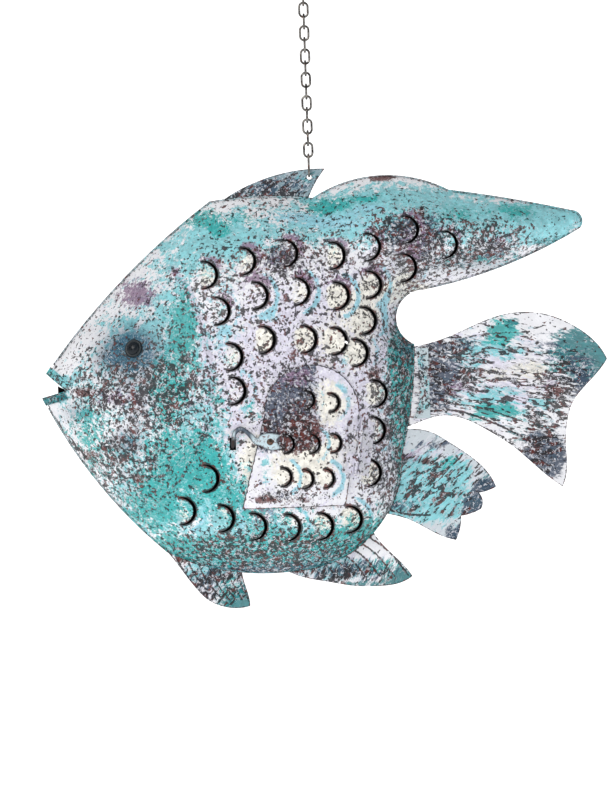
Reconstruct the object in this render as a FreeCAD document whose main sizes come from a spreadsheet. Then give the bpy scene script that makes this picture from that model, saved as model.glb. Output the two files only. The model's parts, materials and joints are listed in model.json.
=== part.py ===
"""Hanging sheet-metal fish lantern: two pressed shells on a seam band, fins, a hinged door and a chain.

The part frame is in millimetres, +Z up, with its origin at the bearing point of the hang ring, where a
ceiling hook carries the lantern. The fish is drawn in its own frame, whose origin is the chain hole in the
dorsal fin: x runs from the head (-) to the tail (+), z up, and y = 0 is the seam plane between the shells.
Each fish piece is then placed at hole_z, below the hang ring.
"""

import FreeCAD, Part
import math
import os

import Sketcher

Vector = FreeCAD.Vector
Rotation = FreeCAD.Rotation
Placement = FreeCAD.Placement
Y_AXIS = Vector(0, 1, 0)
Z_AXIS = Vector(0, 0, 1)
ALONG_Y = Rotation(Vector(1, 0, 0), -90)
LEFT = -1
RIGHT = 1

# ---------------------------------------------------------------- driving dimensions

SIZES = {
    # hanging hardware
    "ring_radius": 13.0,          # centre line of the hang ring
    "ring_wire": 1.6,             # wire radius of the hang ring
    "link_wire": 1.2,             # wire radius of a chain link
    "link_bend": 4.5,             # centre-line radius of a link's round end
    "link_pitch": 12.5,           # drop from one link to the next
    "link_play": 0.5,             # slack between two linked wires
    "link_count": 14,
    "fin_link_reach": 23.5,       # wire centre to wire centre of the long link in the fin
    "hole_radius": 2.6,           # chain hole in the dorsal fin
    # sheet thicknesses and seams
    "shell_sheet": 1.2,
    "shell_base": 0.3,            # how far the shell's inner face starts from the seam plane
    "fin_sheet": 1.8,
    "band_out": 1.5,              # seam band outside the shell's outline
    "band_in": 4.5,               # seam band inside it
    "slab_half": 150.0,           # half the depth of the prisms the outline is cut from
    "puff_height": 95.0,          # limit of the shell's bulge to each side
    "puff_width": 66.0,           # how quickly the bulge rises from the seam
    # outline arcs of the shells: centre x, centre z, radius
    "head_top_x": 352, "head_top_z": -668, "head_top_r": 791,
    "crown_x": -52, "crown_z": -420, "crown_r": 400,
    "chin_x": 180, "chin_z": -3, "chin_r": 522,
    "belly_x": -56, "belly_z": -181, "belly_r": 240,
    "haunch_x": -313, "haunch_z": -97, "haunch_r": 450,
    "rear_x": -325, "rear_z": -178, "rear_r": 430,
    "rump_x": -32, "rump_z": -300, "rump_r": 119.5,
    "hump_x": 79, "hump_z": -145, "hump_r": 143,
    "horn_top_x": -82, "horn_top_z": -1502, "horn_top_r": 1500,
    "horn_end_x": 170, "horn_end_z": -68, "horn_end_r": 111,
    "horn_nose_x": 279, "horn_nose_z": -56.5, "horn_nose_r": 10.3,
    "horn_low_x": 31, "horn_low_z": 389, "horn_low_r": 519.5,
    "crotch_x": 118, "crotch_z": -154.5, "crotch_r": 31.5,
    # mouth
    "mouth_corner_x": -267, "mouth_corner_z": -220,
    "lip_width": 9.0,
    "lip_sheet": 1.5,
    # eye
    "eye_x": -192, "eye_z": -178,
    "eye_ring_radius": 9.8, "eye_ring_sheet": 1.2,
    "eye_dome_radius": 7.0, "eye_dome_height": 4.2,
    "eye_shank_radius": 2.6, "eye_shank_length": 9.0,
    # punched scales
    "scale_radius": 15.0, "scale_gap": 3.4,
    "door_scale_radius": 10.5, "door_scale_gap": 2.6,
    # door
    "door_sheet": 1.0, "door_gap": 0.5, "door_lap": 4.0,
    "door_foot_z": -352, "door_foot_left": -83, "door_foot_right": 27,
    "door_spring_z": -252, "door_spring_left": -56, "door_spring_right": 45,
    "door_crown_x": -3, "door_crown_z": -201,
    # hinge
    "hinge_top_x": 48, "hinge_top_z": -262,
    "hinge_low_x": 38, "hinge_low_z": -319,
    "hinge_stand": 4.5,           # axis above the shell at the hinge's two ends
    "knuckle_radius": 2.5, "knuckle_gap": 0.4, "pin_radius": 1.2,
    "hinge_leaf_width": 14.0, "hinge_leaf_sheet": 1.1,
    # latch
    "rivet_x": -51, "rivet_z": -281,
    "latch_sheet": 1.5, "latch_gap": 0.4,
    "rivet_radius": 1.8, "rivet_head_radius": 3.6, "rivet_head_height": 1.8,
    "slot_x": -90.5, "slot_z": -282, "slot_width": 6.5, "slot_length": 13.5,
    # candle holder
    "candle_x": -20, "tray_z": -350,
    "tray_radius": 34.0, "tray_rim": 6.0, "tray_sheet": 1.0,
    "post_width": 20.0, "post_sheet": 2.0,
    "cup_radius": 20.5, "cup_sheet": 1.0, "cup_depth": 13.0,
}

HEAD_ARCS = ("head_top", "crown", "chin", "belly", "haunch", "rear")
HORN_TAPER_ARCS = ("horn_top", "horn_end")

# Centres of the punched scales on each shell, column by column from the gill to the tail: (x, z)
SCALES = (
    (-115, -102), (-103, -141), (-91, -190), (-89, -226), (-121, -318), (-147, -352),
    (-74, -89), (-62, -126), (-56, -173), (-106, -361),
    (-29, -82), (-18, -123), (-12, -174), (-72, -371),
    (21, -86), (24, -129), (20, -177), (-36, -373),
    (59, -78), (59, -118), (52, -156), (42, -190), (-1, -373),
    (100, -61), (97, -101), (61, -234), (58, -273), (52, -318), (30, -367),
    (141, -78),
)
# The right shell's scales sit to one side of the left shell's, so no line of sight passes both slits
RIGHT_SHIFT = (-14, 0)
# The left shell's door takes the place of what the right shell fills with these scales
RIGHT_ONLY_SCALES = ((-59, -213), (-28, -221), (12, -216), (-52, -262), (-22, -265), (30, -271),
                     (-62, -310), (-31, -322), (15, -319))
DOOR_SCALES = ((-12, -238), (14, -242), (-35, -284), (-8, -285), (15, -285),
               (-39, -319), (-16, -322), (6, -322))

doc = FreeCAD.newDocument("fish_lantern")
sheet = doc.addObject("Spreadsheet::Sheet", "Sizes")
for row, (alias, value) in enumerate(SIZES.items(), start=1):
    sheet.set("A%d" % row, alias)
    sheet.set("B%d" % row, "%g" % value)
    sheet.setAlias("B%d" % row, alias)
doc.recompute()

subparts = {}


def size(alias):
    """The value of one cell of the sheet."""
    return float(sheet.get(alias))


# Height of the chain above the fin's hole, link by link: (centre height, turned edge-on) in the fish's frame
wire_bottom = size("hole_radius") - size("link_wire") - size("link_play")
fin_link_top = wire_bottom + size("fin_link_reach")
link_reach = size("link_pitch") + 2 * size("link_wire") + size("link_play")
linked_gap = 2 * size("link_wire") + size("link_play")
first_link_z = fin_link_top - linked_gap + link_reach / 2
last_link_z = first_link_z + (size("link_count") - 1) * size("link_pitch")
ring_gap = size("ring_wire") + size("link_wire") + size("link_play")
ring_centre_z = last_link_z + link_reach / 2 - ring_gap + size("ring_radius")
HOLE_Z = -(ring_centre_z + size("ring_radius") - size("ring_wire"))


# ---------------------------------------------------------------- the shell's bulge

def arc_depth(name, x, z):
    """About how far (x, z) lies inside one outline arc; negative outside."""
    radius = size(name + "_r")
    reach = (x - size(name + "_x")) ** 2 + (z - size(name + "_z")) ** 2
    return (radius ** 2 - reach) / (2 * radius)


def smooth_min(values, power=3):
    """A rounded minimum that is exact where any value is zero."""
    if min(values) <= 0:
        return min(values)
    return sum(value ** -power for value in values) ** (-1.0 / power)


def smooth_max(values, power=6):
    """A rounded maximum that is exact where only one value is positive."""
    if max(values) <= 0:
        return max(values)
    return sum(max(value, 0) ** power for value in values) ** (1.0 / power)


def bulge(x, z):
    """Height of the shell's mid surface above the seam plane; negative outside the outline."""
    torso = smooth_min([arc_depth(name, x, z) for name in HEAD_ARCS])
    rump = arc_depth("rump", x, z)
    taper = smooth_min([arc_depth(name, x, z) for name in HORN_TAPER_ARCS])
    swell = smooth_max([taper, arc_depth("hump", x, z), arc_depth("horn_nose", x, z)])
    horn = smooth_min([swell, arc_depth("horn_low", x, z)])
    depth = smooth_min([smooth_max([torso, rump, horn]), -arc_depth("crotch", x, z)])
    return size("puff_height") * math.tanh(depth / size("puff_width"))


def bulge_normal(x, z, side):
    """Outward unit normal of the shell on the given side."""
    step = 0.5
    slope_x = (bulge(x + step, z) - bulge(x - step, z)) / (2 * step)
    slope_z = (bulge(x, z + step) - bulge(x, z - step)) / (2 * step)
    return Vector(-slope_x, side, -slope_z).normalize()


def make_bulge_face():
    """The right-hand bulge as one smooth face, a little wider than the fish."""
    spacing = 8
    columns = range(-312, 313, spacing)
    rows = range(-440, 25, spacing)
    grid = [[Vector(x, bulge(x, z), z) for z in rows] for x in columns]
    surface = Part.BSplineSurface()
    surface.interpolate(grid)
    return surface.toShape()


BULGE_FACE = make_bulge_face()


def mirror_left(shape):
    return shape.mirror(Vector(0, 0, 0), Y_AXIS)


def layer(side, start, thickness):
    """Sheet that follows the bulge, from start to start + thickness outside its mid surface."""
    face = BULGE_FACE.copy()
    face.translate(Vector(0, start, 0))
    solid = face.extrude(Vector(0, thickness, 0))
    if side == LEFT:
        solid = mirror_left(solid)
    return solid


# ---------------------------------------------------------------- helpers

def add_cylinder(name, radius, height, base, rotation=None):
    """Part::Cylinder whose radius, height and place are expressions in the sheet's aliases."""
    cylinder = doc.addObject("Part::Cylinder", name)
    if rotation is not None:
        cylinder.Placement = Placement(Vector(0, 0, 0), rotation)
    cylinder.setExpression("Radius", radius)
    cylinder.setExpression("Height", height)
    for axis, value in zip("xyz", base):
        cylinder.setExpression("Placement.Base." + axis, value)
    return cylinder


def add_disc(prefix, arc, grow):
    """The disc inside one outline arc, widened by grow, as a cylinder across the seam plane."""
    base = ("Sizes.%s_x" % arc, "-Sizes.slab_half", "Sizes.%s_z" % arc)
    radius = "Sizes.%s_r + (%s)" % (arc, grow)
    return add_cylinder(prefix + arc, radius, "2 * Sizes.slab_half", base, ALONG_Y)


def combine(kind, name, shapes):
    result = doc.addObject(kind, name)
    result.Shapes = shapes
    return result


def cut(name, base, tool):
    result = doc.addObject("Part::Cut", name)
    result.Base = base
    result.Tool = tool
    return result


def add_outline(prefix, grow):
    """The whole outline of the shells, widened by grow, as a prism across the seam plane."""
    torso_discs = [add_disc(prefix, arc, grow) for arc in HEAD_ARCS]
    torso = combine("Part::MultiCommon", prefix + "torso", torso_discs)
    rump = add_disc(prefix, "rump", grow)
    taper_discs = [add_disc(prefix, arc, grow) for arc in HORN_TAPER_ARCS]
    taper = combine("Part::MultiCommon", prefix + "taper", taper_discs)
    round_discs = [add_disc(prefix, arc, grow) for arc in ("hump", "horn_nose")]
    swell = combine("Part::MultiFuse", prefix + "swell", [taper] + round_discs)
    horn = combine("Part::MultiCommon", prefix + "horn", [swell, add_disc(prefix, "horn_low", grow)])
    whole = combine("Part::MultiFuse", prefix + "whole", [torso, rump, horn])
    crotch = add_disc(prefix, "crotch", "-(%s)" % grow)
    return cut(prefix + "outline", whole, crotch)


def add_box(name, low, high):
    box = doc.addObject("Part::Box", name)
    box.Length = high[0] - low[0]
    box.Width = high[1] - low[1]
    box.Height = high[2] - low[2]
    box.Placement.Base = Vector(*low)
    return box


def prism(edges, start, end):
    """The closed outline of edges in the plane y = 0, extruded from y = start to y = end."""
    face = Part.Face(Part.Wire(Part.__sortEdges__(edges)))
    face.translate(Vector(0, start, 0))
    return face.extrude(Vector(0, end - start, 0))


def flat(x, z):
    return Vector(x, 0, z)


def lines(points):
    """Straight edges from point to point in the plane y = 0."""
    ends = [flat(*point) for point in points]
    return [Part.LineSegment(a, b).toShape() for a, b in zip(ends, ends[1:])]


def keep(name, obj):
    """Registers an object drawn in the fish's frame as a sub-part and places it below the hang ring."""
    obj.Label = name
    obj.Placement = Placement(Vector(0, 0, HOLE_Z), Rotation()).multiply(obj.Placement)
    subparts[name] = obj


def keep_shape(name, shape):
    """Registers a shape built with Part's functions, in the fish's frame."""
    feature = doc.addObject("Part::Feature", name + "_shape")
    feature.Shape = shape
    keep(name, feature)


def only_solid(shape):
    """The largest solid of a result, as a solid rather than a compound."""
    return max(shape.Solids, key=lambda solid: solid.Volume)


# ---------------------------------------------------------------- outlines and seam band

shell_outline = add_outline("shell_", "0")
band_outer = add_outline("band_outer_", "Sizes.band_out")
band_inner = add_outline("band_inner_", "-Sizes.band_in")
doc.recompute()

SHELL_PRISM = shell_outline.Shape
FAR = 130.0                       # further out than any piece of the fish reaches from the seam plane
half_seam = size("fin_sheet") / 2


def side_prism(shape, side, start):
    """The part of a prism across the seam plane that lies beyond start on one side."""
    low = min(side * start, side * FAR)
    half_space = Part.makeBox(700, FAR - start, 600, Vector(-350, low, -500))
    return shape.common(half_space)


# ---------------------------------------------------------------- mouth

corner = (size("mouth_corner_x"), size("mouth_corner_z"))
upper_mouth = (-330, -165)
lower_mouth = (-330, -236)
mouth_prism = prism(lines([corner, upper_mouth, lower_mouth, corner]), -FAR, FAR)


def lip_prism(inner_end, tilt):
    """A band as wide as a lip from the mouth's corner to inner_end, on the side given by tilt."""
    along = Vector(inner_end[0] - corner[0], 0, inner_end[1] - corner[1]).normalize()
    across = Vector(-along.z, 0, along.x) * (tilt * size("lip_width"))
    start = flat(*corner)
    end = flat(*inner_end)
    points = [start, end, end + across, start + across, start]
    return prism(lines([(p.x, p.z) for p in points]), -FAR, FAR)


def hull_inside(start):
    """Solid between the two bulges, each pushed out by start: the fish as a filled body."""
    right = layer(RIGHT, start - 2 * FAR, 2 * FAR)
    left = layer(LEFT, start - 2 * FAR, 2 * FAR)
    return right.common(left)


skin = size("shell_base") + size("shell_sheet")
lip_skin = hull_inside(skin + 0.1 + size("lip_sheet")).cut(hull_inside(skin + 0.1))
upper_lip_prism = lip_prism(upper_mouth, -1)
lower_lip_prism = lip_prism(lower_mouth, 1).cut(upper_lip_prism)
for name, region in (("upper_lip", upper_lip_prism), ("lower_lip", lower_lip_prism)):
    keep_shape(name, only_solid(lip_skin.common(region)))

# ---------------------------------------------------------------- door outline


def door_outline(inset):
    """The arched door, drawn in by inset all round."""
    foot_z = size("door_foot_z") + inset
    spring_z = size("door_spring_z")
    foot_left = flat(size("door_foot_left") + inset, foot_z)
    foot_right = flat(size("door_foot_right") - inset, foot_z)
    spring_left = flat(size("door_spring_left") + inset, spring_z)
    spring_right = flat(size("door_spring_right") - inset, spring_z)
    crown = flat(size("door_crown_x"), size("door_crown_z") - inset)
    return [
        Part.LineSegment(spring_left, foot_left).toShape(),
        Part.LineSegment(foot_left, foot_right).toShape(),
        Part.LineSegment(foot_right, spring_right).toShape(),
        Part.Arc(spring_right, crown, spring_left).toShape(),
    ]


door_prism = prism(door_outline(0), -FAR, 0)
opening_prism = prism(door_outline(size("door_lap")), -FAR, 0)

# ---------------------------------------------------------------- punched scales

SLIT_SPREAD = math.radians(100)   # a slit runs this far round to each side of its middle


def crescent(centre, radius, gap):
    """A slit shaped like a closing bracket: wide at its middle, with narrow blunt ends."""
    x, z = centre
    end_gap = 0.25 * gap

    def arc(reach, end_radius):
        across = end_radius * math.cos(SLIT_SPREAD)
        up = end_radius * math.sin(SLIT_SPREAD)
        return [flat(x + across, z + up), flat(x + reach, z), flat(x + across, z - up)]

    outer = arc(radius, radius)
    inner = arc(radius - gap, radius - end_gap)
    edges = [Part.Arc(*outer).toShape(), Part.Arc(*inner).toShape()]
    edges += [Part.LineSegment(outer[end], inner[end]).toShape() for end in (0, 2)]
    return prism(edges, -FAR, 0)


def crescents(centres, radius, gap):
    return [crescent(centre, radius, gap) for centre in centres]


shell_slits = crescents(SCALES, size("scale_radius"), size("scale_gap"))
shifted_scales = [(x + RIGHT_SHIFT[0], z + RIGHT_SHIFT[1]) for x, z in SCALES]
right_slits = crescents(tuple(shifted_scales) + RIGHT_ONLY_SCALES, size("scale_radius"), size("scale_gap"))
door_slits = crescents(DOOR_SCALES, size("door_scale_radius"), size("door_scale_gap"))

# ---------------------------------------------------------------- shells


def eye_hole(side):
    eye = Vector(size("eye_x"), side * bulge(size("eye_x"), size("eye_z")), size("eye_z"))
    normal = bulge_normal(eye.x, eye.z, side)
    reach = 12.0
    return Part.makeCylinder(size("eye_shank_radius") + 0.2, 2 * reach, eye - normal * reach, normal)


slot_box = Part.makeBox(
    size("slot_width"), FAR, size("slot_length"),
    Vector(size("slot_x") - size("slot_width") / 2, -FAR, size("slot_z") - size("slot_length") / 2))


def make_shell(side, tools):
    sheet_layer = layer(side, size("shell_base"), size("shell_sheet"))
    blank = sheet_layer.common(side_prism(SHELL_PRISM, side, half_seam))
    pierced = blank.cut(tools + [mouth_prism, eye_hole(side)])
    return only_solid(pierced)


keep_shape("left_shell", make_shell(LEFT, shell_slits + [opening_prism, slot_box]))
keep_shape("right_shell", make_shell(RIGHT, [mirror_left(slit) for slit in right_slits]))

# ---------------------------------------------------------------- fins and seam band


def curve_through(points):
    """One smooth edge through a few points in the plane y = 0."""
    spline = Part.BSplineCurve()
    spline.interpolate([flat(*point) for point in points])
    return spline.toShape()


def add_plate(name, edges, holes=()):
    """A flat plate on the seam plane: a sketch of its outline, padded to the fin sheet's thickness."""
    body = doc.addObject("PartDesign::Body", name + "_body")
    plane = [item for item in body.Origin.OriginFeatures if item.Role == "XZ_Plane"][0]
    sketch = body.newObject("Sketcher::SketchObject", name + "_sketch")
    sketch.AttachmentSupport = [(plane, "")]
    sketch.MapMode = "FlatFace"
    to_sketch = Placement(Vector(0, 0, 0), Rotation(Vector(1, 0, 0), 90)).inverse()
    for edge in edges:
        curve = edge.Curve.copy()
        curve.transform(to_sketch.toMatrix())
        if not isinstance(curve, Part.BSplineCurve):
            ends = [to_sketch.multVec(vertex.Point) for vertex in edge.Vertexes]
            curve = Part.LineSegment(*ends)
        sketch.addGeometry(curve, False)
    for x, z, radius in holes:
        sketch.addGeometry(Part.Circle(Vector(x, z, 0), Z_AXIS, radius), False)
    pad = body.newObject("PartDesign::Pad", name + "_pad")
    pad.Profile = sketch
    pad.setExpression("Length", "Sizes.fin_sheet")
    pad.Midplane = True
    sketch.Visibility = False
    return body


dorsal_edges = [
    curve_through([(-104, -30), (-78, -12.5), (-52, -1.5), (-26, 5.5), (0, 8.6), (17, 8.6)]),
    curve_through([(17, 8.6), (6, -7), (-3, -26)]),
] + lines([(-3, -26), (-3, -45), (-104, -60), (-104, -30)])
tail_edges = [
    curve_through([(96, -186), (122, -182), (148, -174), (174, -163), (200, -154.5), (226, -152),
                   (251, -156), (277, -168), (302, -188.5), (312, -205)]),
    curve_through([(312, -205), (302, -218.5), (285, -236), (274, -250), (268, -267), (265, -296),
                   (265.5, -317), (260, -340)]),
    curve_through([(260, -340), (233, -318), (208, -295), (183, -278), (158, -264.5), (132, -260),
                   (112, -265), (92, -272)]),
] + lines([(92, -272), (70, -272), (70, -186), (96, -186)])
anal_edges = [
    curve_through([(85, -273), (102, -273), (121, -277), (138, -287), (154, -298), (183, -326),
                   (188.7, -338)]),
    curve_through([(188.7, -338), (179, -342), (170.3, -343.8)]),
    curve_through([(170.3, -343.8), (174, -353), (171.9, -361)]),
    curve_through([(171.9, -361), (160, -366), (150.3, -367.8)]),
    curve_through([(150.3, -367.8), (149, -380), (144, -393.5)]),
    curve_through([(144, -393.5), (118, -383), (98, -371.5), (62, -361), (45, -358)]),
] + lines([(45, -358), (20, -340), (60, -290), (85, -273)])
front_pelvic_edges = [
    curve_through([(-166, -395), (-149, -418), (-135, -437), (-123, -449), (-108, -456), (-94, -458.5),
                   (-78.5, -456.5)]),
    curve_through([(-78.5, -456.5), (-80, -445), (-84, -431), (-86, -415)]),
] + lines([(-86, -415), (-86, -400), (-150, -380), (-166, -395)])
rear_pelvic_edges = [
    curve_through([(55, -380), (68, -398.5), (86, -417), (96, -430.5)]),
    curve_through([(96, -430.5), (85, -436.5), (56, -440), (34, -439), (8, -434), (-20, -428), (-42, -418)]),
] + lines([(-42, -418), (-42, -405), (10, -385), (55, -380)])

plates = {
    "dorsal_fin": add_plate("dorsal_fin", dorsal_edges, [(0, 0, size("hole_radius"))]),
    "tail_fin": add_plate("tail_fin", tail_edges),
    "anal_fin": add_plate("anal_fin", anal_edges),
    "front_pelvic_fin": add_plate("front_pelvic_fin", front_pelvic_edges),
    "rear_pelvic_fin": add_plate("rear_pelvic_fin", rear_pelvic_edges),
}
for name, plate in plates.items():
    keep(name, cut(name + "_trimmed", plate, band_outer))

band_slab = add_box("band_slab", (-330, -half_seam, -460), (330, half_seam, 20))
band_plate = combine("Part::MultiCommon", "band_plate", [band_outer, band_slab])
band_ring = cut("band_ring", band_plate, band_inner)
doc.recompute()
notch_points = [(-240, -220), (-330, -156), (-330, -254), (-240, -220)]
mouth_notch = doc.addObject("Part::Feature", "mouth_notch")
mouth_notch.Shape = prism(lines(notch_points), -FAR, FAR)
keep("seam_band", cut("band_open_at_mouth", band_ring, mouth_notch))

for name, side in (("left_tail_strip", LEFT), ("right_tail_strip", RIGHT)):
    strip = prism([
        curve_through([(108, -187), (111, -224), (109, -246), (103, -262)]),
    ] + lines([(103, -262), (121, -262), (121, -187), (108, -187)]), half_seam, half_seam + 1.2)
    keep_shape(name, strip if side == RIGHT else mirror_left(strip))

# ---------------------------------------------------------------- eyes


def surface_placement(x, z, side, stand):
    """Placement whose +Z is the shell's outward normal at (x, z), standing off its mid surface."""
    normal = bulge_normal(x, z, side)
    base = Vector(x, side * bulge(x, z), z) + normal * stand
    sideways = Vector(1, 0, 0) if side == LEFT else Vector(-1, 0, 0)
    return Placement(base, Rotation(sideways, Vector(0, 0, 0), normal, "ZXY"))


def revolve(points):
    """Solid of revolution about +Z from a closed outline of (radius, height) points."""
    wire = Part.makePolygon([Vector(r, 0, z) for r, z in points + points[:1]])
    return Part.Face(wire).revolve(Vector(0, 0, 0), Z_AXIS, 360)


def eye_ring_shape():
    outer = size("eye_ring_radius")
    head = size("eye_dome_radius")
    inner = head - 1.2
    top = size("eye_ring_sheet")
    seat = top + 0.3
    profile = [(inner, 0.3), (outer, 0.3), (outer, top), (outer - 1, top + 0.9), (head + 0.3, seat),
               (inner, seat)]
    return revolve(profile)


def eye_stud_shape():
    """A domed head with a shank that passes through the shell and ends in a nut behind it."""
    seat = size("eye_ring_sheet") + 0.3
    head = size("eye_dome_radius")
    rise = size("eye_dome_height")
    shank = size("eye_shank_radius")
    depth = -size("eye_shank_length")
    angles = [math.radians(degrees) for degrees in range(0, 90, 15)]
    dome = [(head * math.cos(a), seat + rise * math.sin(a)) for a in angles]
    nut = [(shank, -4.5), (shank + 2, -4.5), (shank + 2, -2.5), (shank, -2.5)]
    profile = [(0, depth), (shank, depth)] + nut + [(shank, seat)] + dome + [(0, seat + rise)]
    return revolve(profile)


for prefix, side in (("left", LEFT), ("right", RIGHT)):
    place = surface_placement(size("eye_x"), size("eye_z"), side, skin)
    for part_name, shape in (("eye_ring", eye_ring_shape()), ("eye_stud", eye_stud_shape())):
        shape.Placement = place
        keep_shape("%s_%s" % (prefix, part_name), shape)

# ---------------------------------------------------------------- hinge

door_back = skin + size("door_gap")
door_front = door_back + size("door_sheet")


def hinge_point(end):
    x, z = size("hinge_%s_x" % end), size("hinge_%s_z" % end)
    return Vector(x, -(bulge(x, z) + skin + size("hinge_stand")), z)


hinge_top = hinge_point("top")
hinge_low = hinge_point("low")
hinge_up = (hinge_top - hinge_low).normalize()
hinge_length = (hinge_top - hinge_low).Length
middle = (hinge_top + hinge_low) * 0.5
inward = bulge_normal(middle.x, middle.z, LEFT) * -1
to_right = hinge_up.cross(inward) * -1
if to_right.x < 0:
    to_right = to_right * -1
inward = hinge_up.cross(to_right)
if inward.y < 0:
    inward = inward * -1

KNUCKLES = 5
knuckle_length = (hinge_length - (KNUCKLES - 1) * size("knuckle_gap")) / KNUCKLES
knuckle_step = knuckle_length + size("knuckle_gap")


def knuckle(index, web_width):
    """One rolled knuckle with a web towards its leaf: to the right when web_width is positive."""
    start = hinge_low + hinge_up * (index * knuckle_step)
    radius = size("knuckle_radius")
    barrel = Part.makeCylinder(radius, knuckle_length, start, hinge_up)
    sideways = to_right * web_width
    depth = inward * 7.0
    web_wire = Part.makePolygon([start, start + sideways, start + sideways + depth, start + depth, start])
    web = Part.Face(web_wire).extrude(hinge_up * knuckle_length)
    return barrel.fuse(web)


def leaf_prism(near, far):
    """The leaf's outline on the shell, from near to far beside the axis; negative is on the door."""
    rows = (hinge_low, hinge_top)
    low_near, top_near = [row + to_right * near for row in rows]
    low_far, top_far = [row + to_right * far for row in rows]
    ring = [(p.x, p.z) for p in (low_near, low_far, top_far, top_near, low_near)]
    return prism(lines(ring), -FAR, 0)


def outside(start):
    """Everything on the left side further out than start above the bulge's mid surface."""
    return layer(LEFT, start, FAR)


def make_leaf(knuckles, near, far, start):
    plate = layer(LEFT, start, size("hinge_leaf_sheet")).common(leaf_prism(near, far))
    webs = [knuckle(index, near * 1.3).common(outside(start)) for index in knuckles]
    bore = Part.makeCylinder(size("pin_radius") + 0.05, hinge_length + 2, hinge_low - hinge_up, hinge_up)
    return only_solid(plate.fuse(webs).cut(bore).removeSplitter())


leaf_clear = size("knuckle_radius") + 1.0
leaf_far = leaf_clear + size("hinge_leaf_width")
keep_shape("hinge_leaf_fish", make_leaf((0, 2, 4), leaf_clear, leaf_far, skin + 0.05))
keep_shape("hinge_leaf_door", make_leaf((1, 3), -leaf_clear, -leaf_far, door_front + 0.05))

pin = doc.addObject("Part::Cylinder", "hinge_pin_cylinder")
pin.setExpression("Radius", "Sizes.pin_radius")
pin.Height = hinge_length + 2
pin.Placement = Placement(hinge_low - hinge_up, Rotation(Z_AXIS, hinge_up))
keep("hinge_pin", pin)

# ---------------------------------------------------------------- door and latch

latch_stand = door_front + size("latch_gap")
latch_place = surface_placement(size("rivet_x"), size("rivet_z"), LEFT, latch_stand)
latch_out = latch_place.Rotation.multVec(Z_AXIS)
rivet_hole = Part.makeCylinder(size("rivet_radius") + 0.1, 30, latch_place.Base - latch_out * 15, latch_out)
hinge_clearance = leaf_prism(-size("knuckle_radius") - 0.5, leaf_far)
door_blank = layer(LEFT, door_back, size("door_sheet")).common(door_prism)
keep_shape("door_panel", only_solid(door_blank.cut(door_slits + [rivet_hole, hinge_clearance])))


def latch_hook_shape():
    """Leaf-shaped plate with a long arched arm whose tip turns down; flat, about its rivet at (0, 0)."""
    outline = [(10.5, 6.5), (7, 1), (10.5, -7.5), (0, -9), (-10, -4.5), (-17, -1.5), (-22, 5), (-29, 12),
               (-35.5, 9), (-38, -4), (-41.5, -4), (-40, 10), (-35, 16), (-29, 17), (-19, 9.5), (-14, 4.5),
               (-9, 8), (0, 9.5)]
    spline = Part.BSplineCurve()
    spline.interpolate([Vector(x, y, 0) for x, y in outline], PeriodicFlag=True)
    face = Part.Face(Part.Wire(spline.toShape()))
    plate = face.extrude(Vector(0, 0, size("latch_sheet")))
    hole = Part.makeCylinder(size("rivet_radius") + 0.15, 10, Vector(0, 0, -4))
    return only_solid(plate.cut(hole))


def rivet_shape():
    shank = size("rivet_radius")
    head = size("rivet_head_radius")
    seat = size("latch_sheet") + 0.15
    back = -size("latch_gap") - size("door_sheet") - 0.1
    top = seat + size("rivet_head_height")
    return revolve([(0, back - 0.25), (shank, back - 0.25), (shank, seat), (head, seat),
                    (head - 0.5, seat + 1.1), (head - 1.6, top), (0, top)])


for name, shape in (("latch_hook", latch_hook_shape()), ("latch_rivet", rivet_shape())):
    shape.Placement = latch_place
    keep_shape(name, shape)

# ---------------------------------------------------------------- candle holder

post_box = doc.addObject("Part::Box", "post_box")
for length, value in (("Length", "post_width"), ("Width", "post_sheet")):
    post_box.setExpression(length, "Sizes." + value)
post_box.Height = 90
post_box.setExpression("Placement.Base.x", "Sizes.candle_x - Sizes.post_width / 2")
post_box.setExpression("Placement.Base.y", "-Sizes.post_sheet / 2")
post_box.setExpression("Placement.Base.z", "Sizes.tray_z - 90")
keep("candle_post", combine("Part::MultiCommon", "post_on_seam", [post_box, band_inner]))


def dish(name, radius, sheet_alias, height, floor):
    """A round open dish about the candle's axis, from two Part::Cylinders."""
    base = ("Sizes.candle_x", "0", floor)
    outer = add_cylinder(name + "_outer", radius + " + " + sheet_alias, height + " + " + sheet_alias, base)
    raised = ("Sizes.candle_x", "0", floor + " + " + sheet_alias)
    inner = add_cylinder(name + "_inner", radius, height + " + 5", raised)
    keep(name, cut(name + "_dish", outer, inner))


tray_floor = "Sizes.tray_z"
cup_floor = "Sizes.tray_z + Sizes.tray_sheet"
dish("candle_tray", "Sizes.tray_radius", "Sizes.tray_sheet", "Sizes.tray_rim", tray_floor)
dish("candle_cup", "Sizes.cup_radius", "Sizes.cup_sheet", "Sizes.cup_depth", cup_floor)

# ---------------------------------------------------------------- chain


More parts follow.
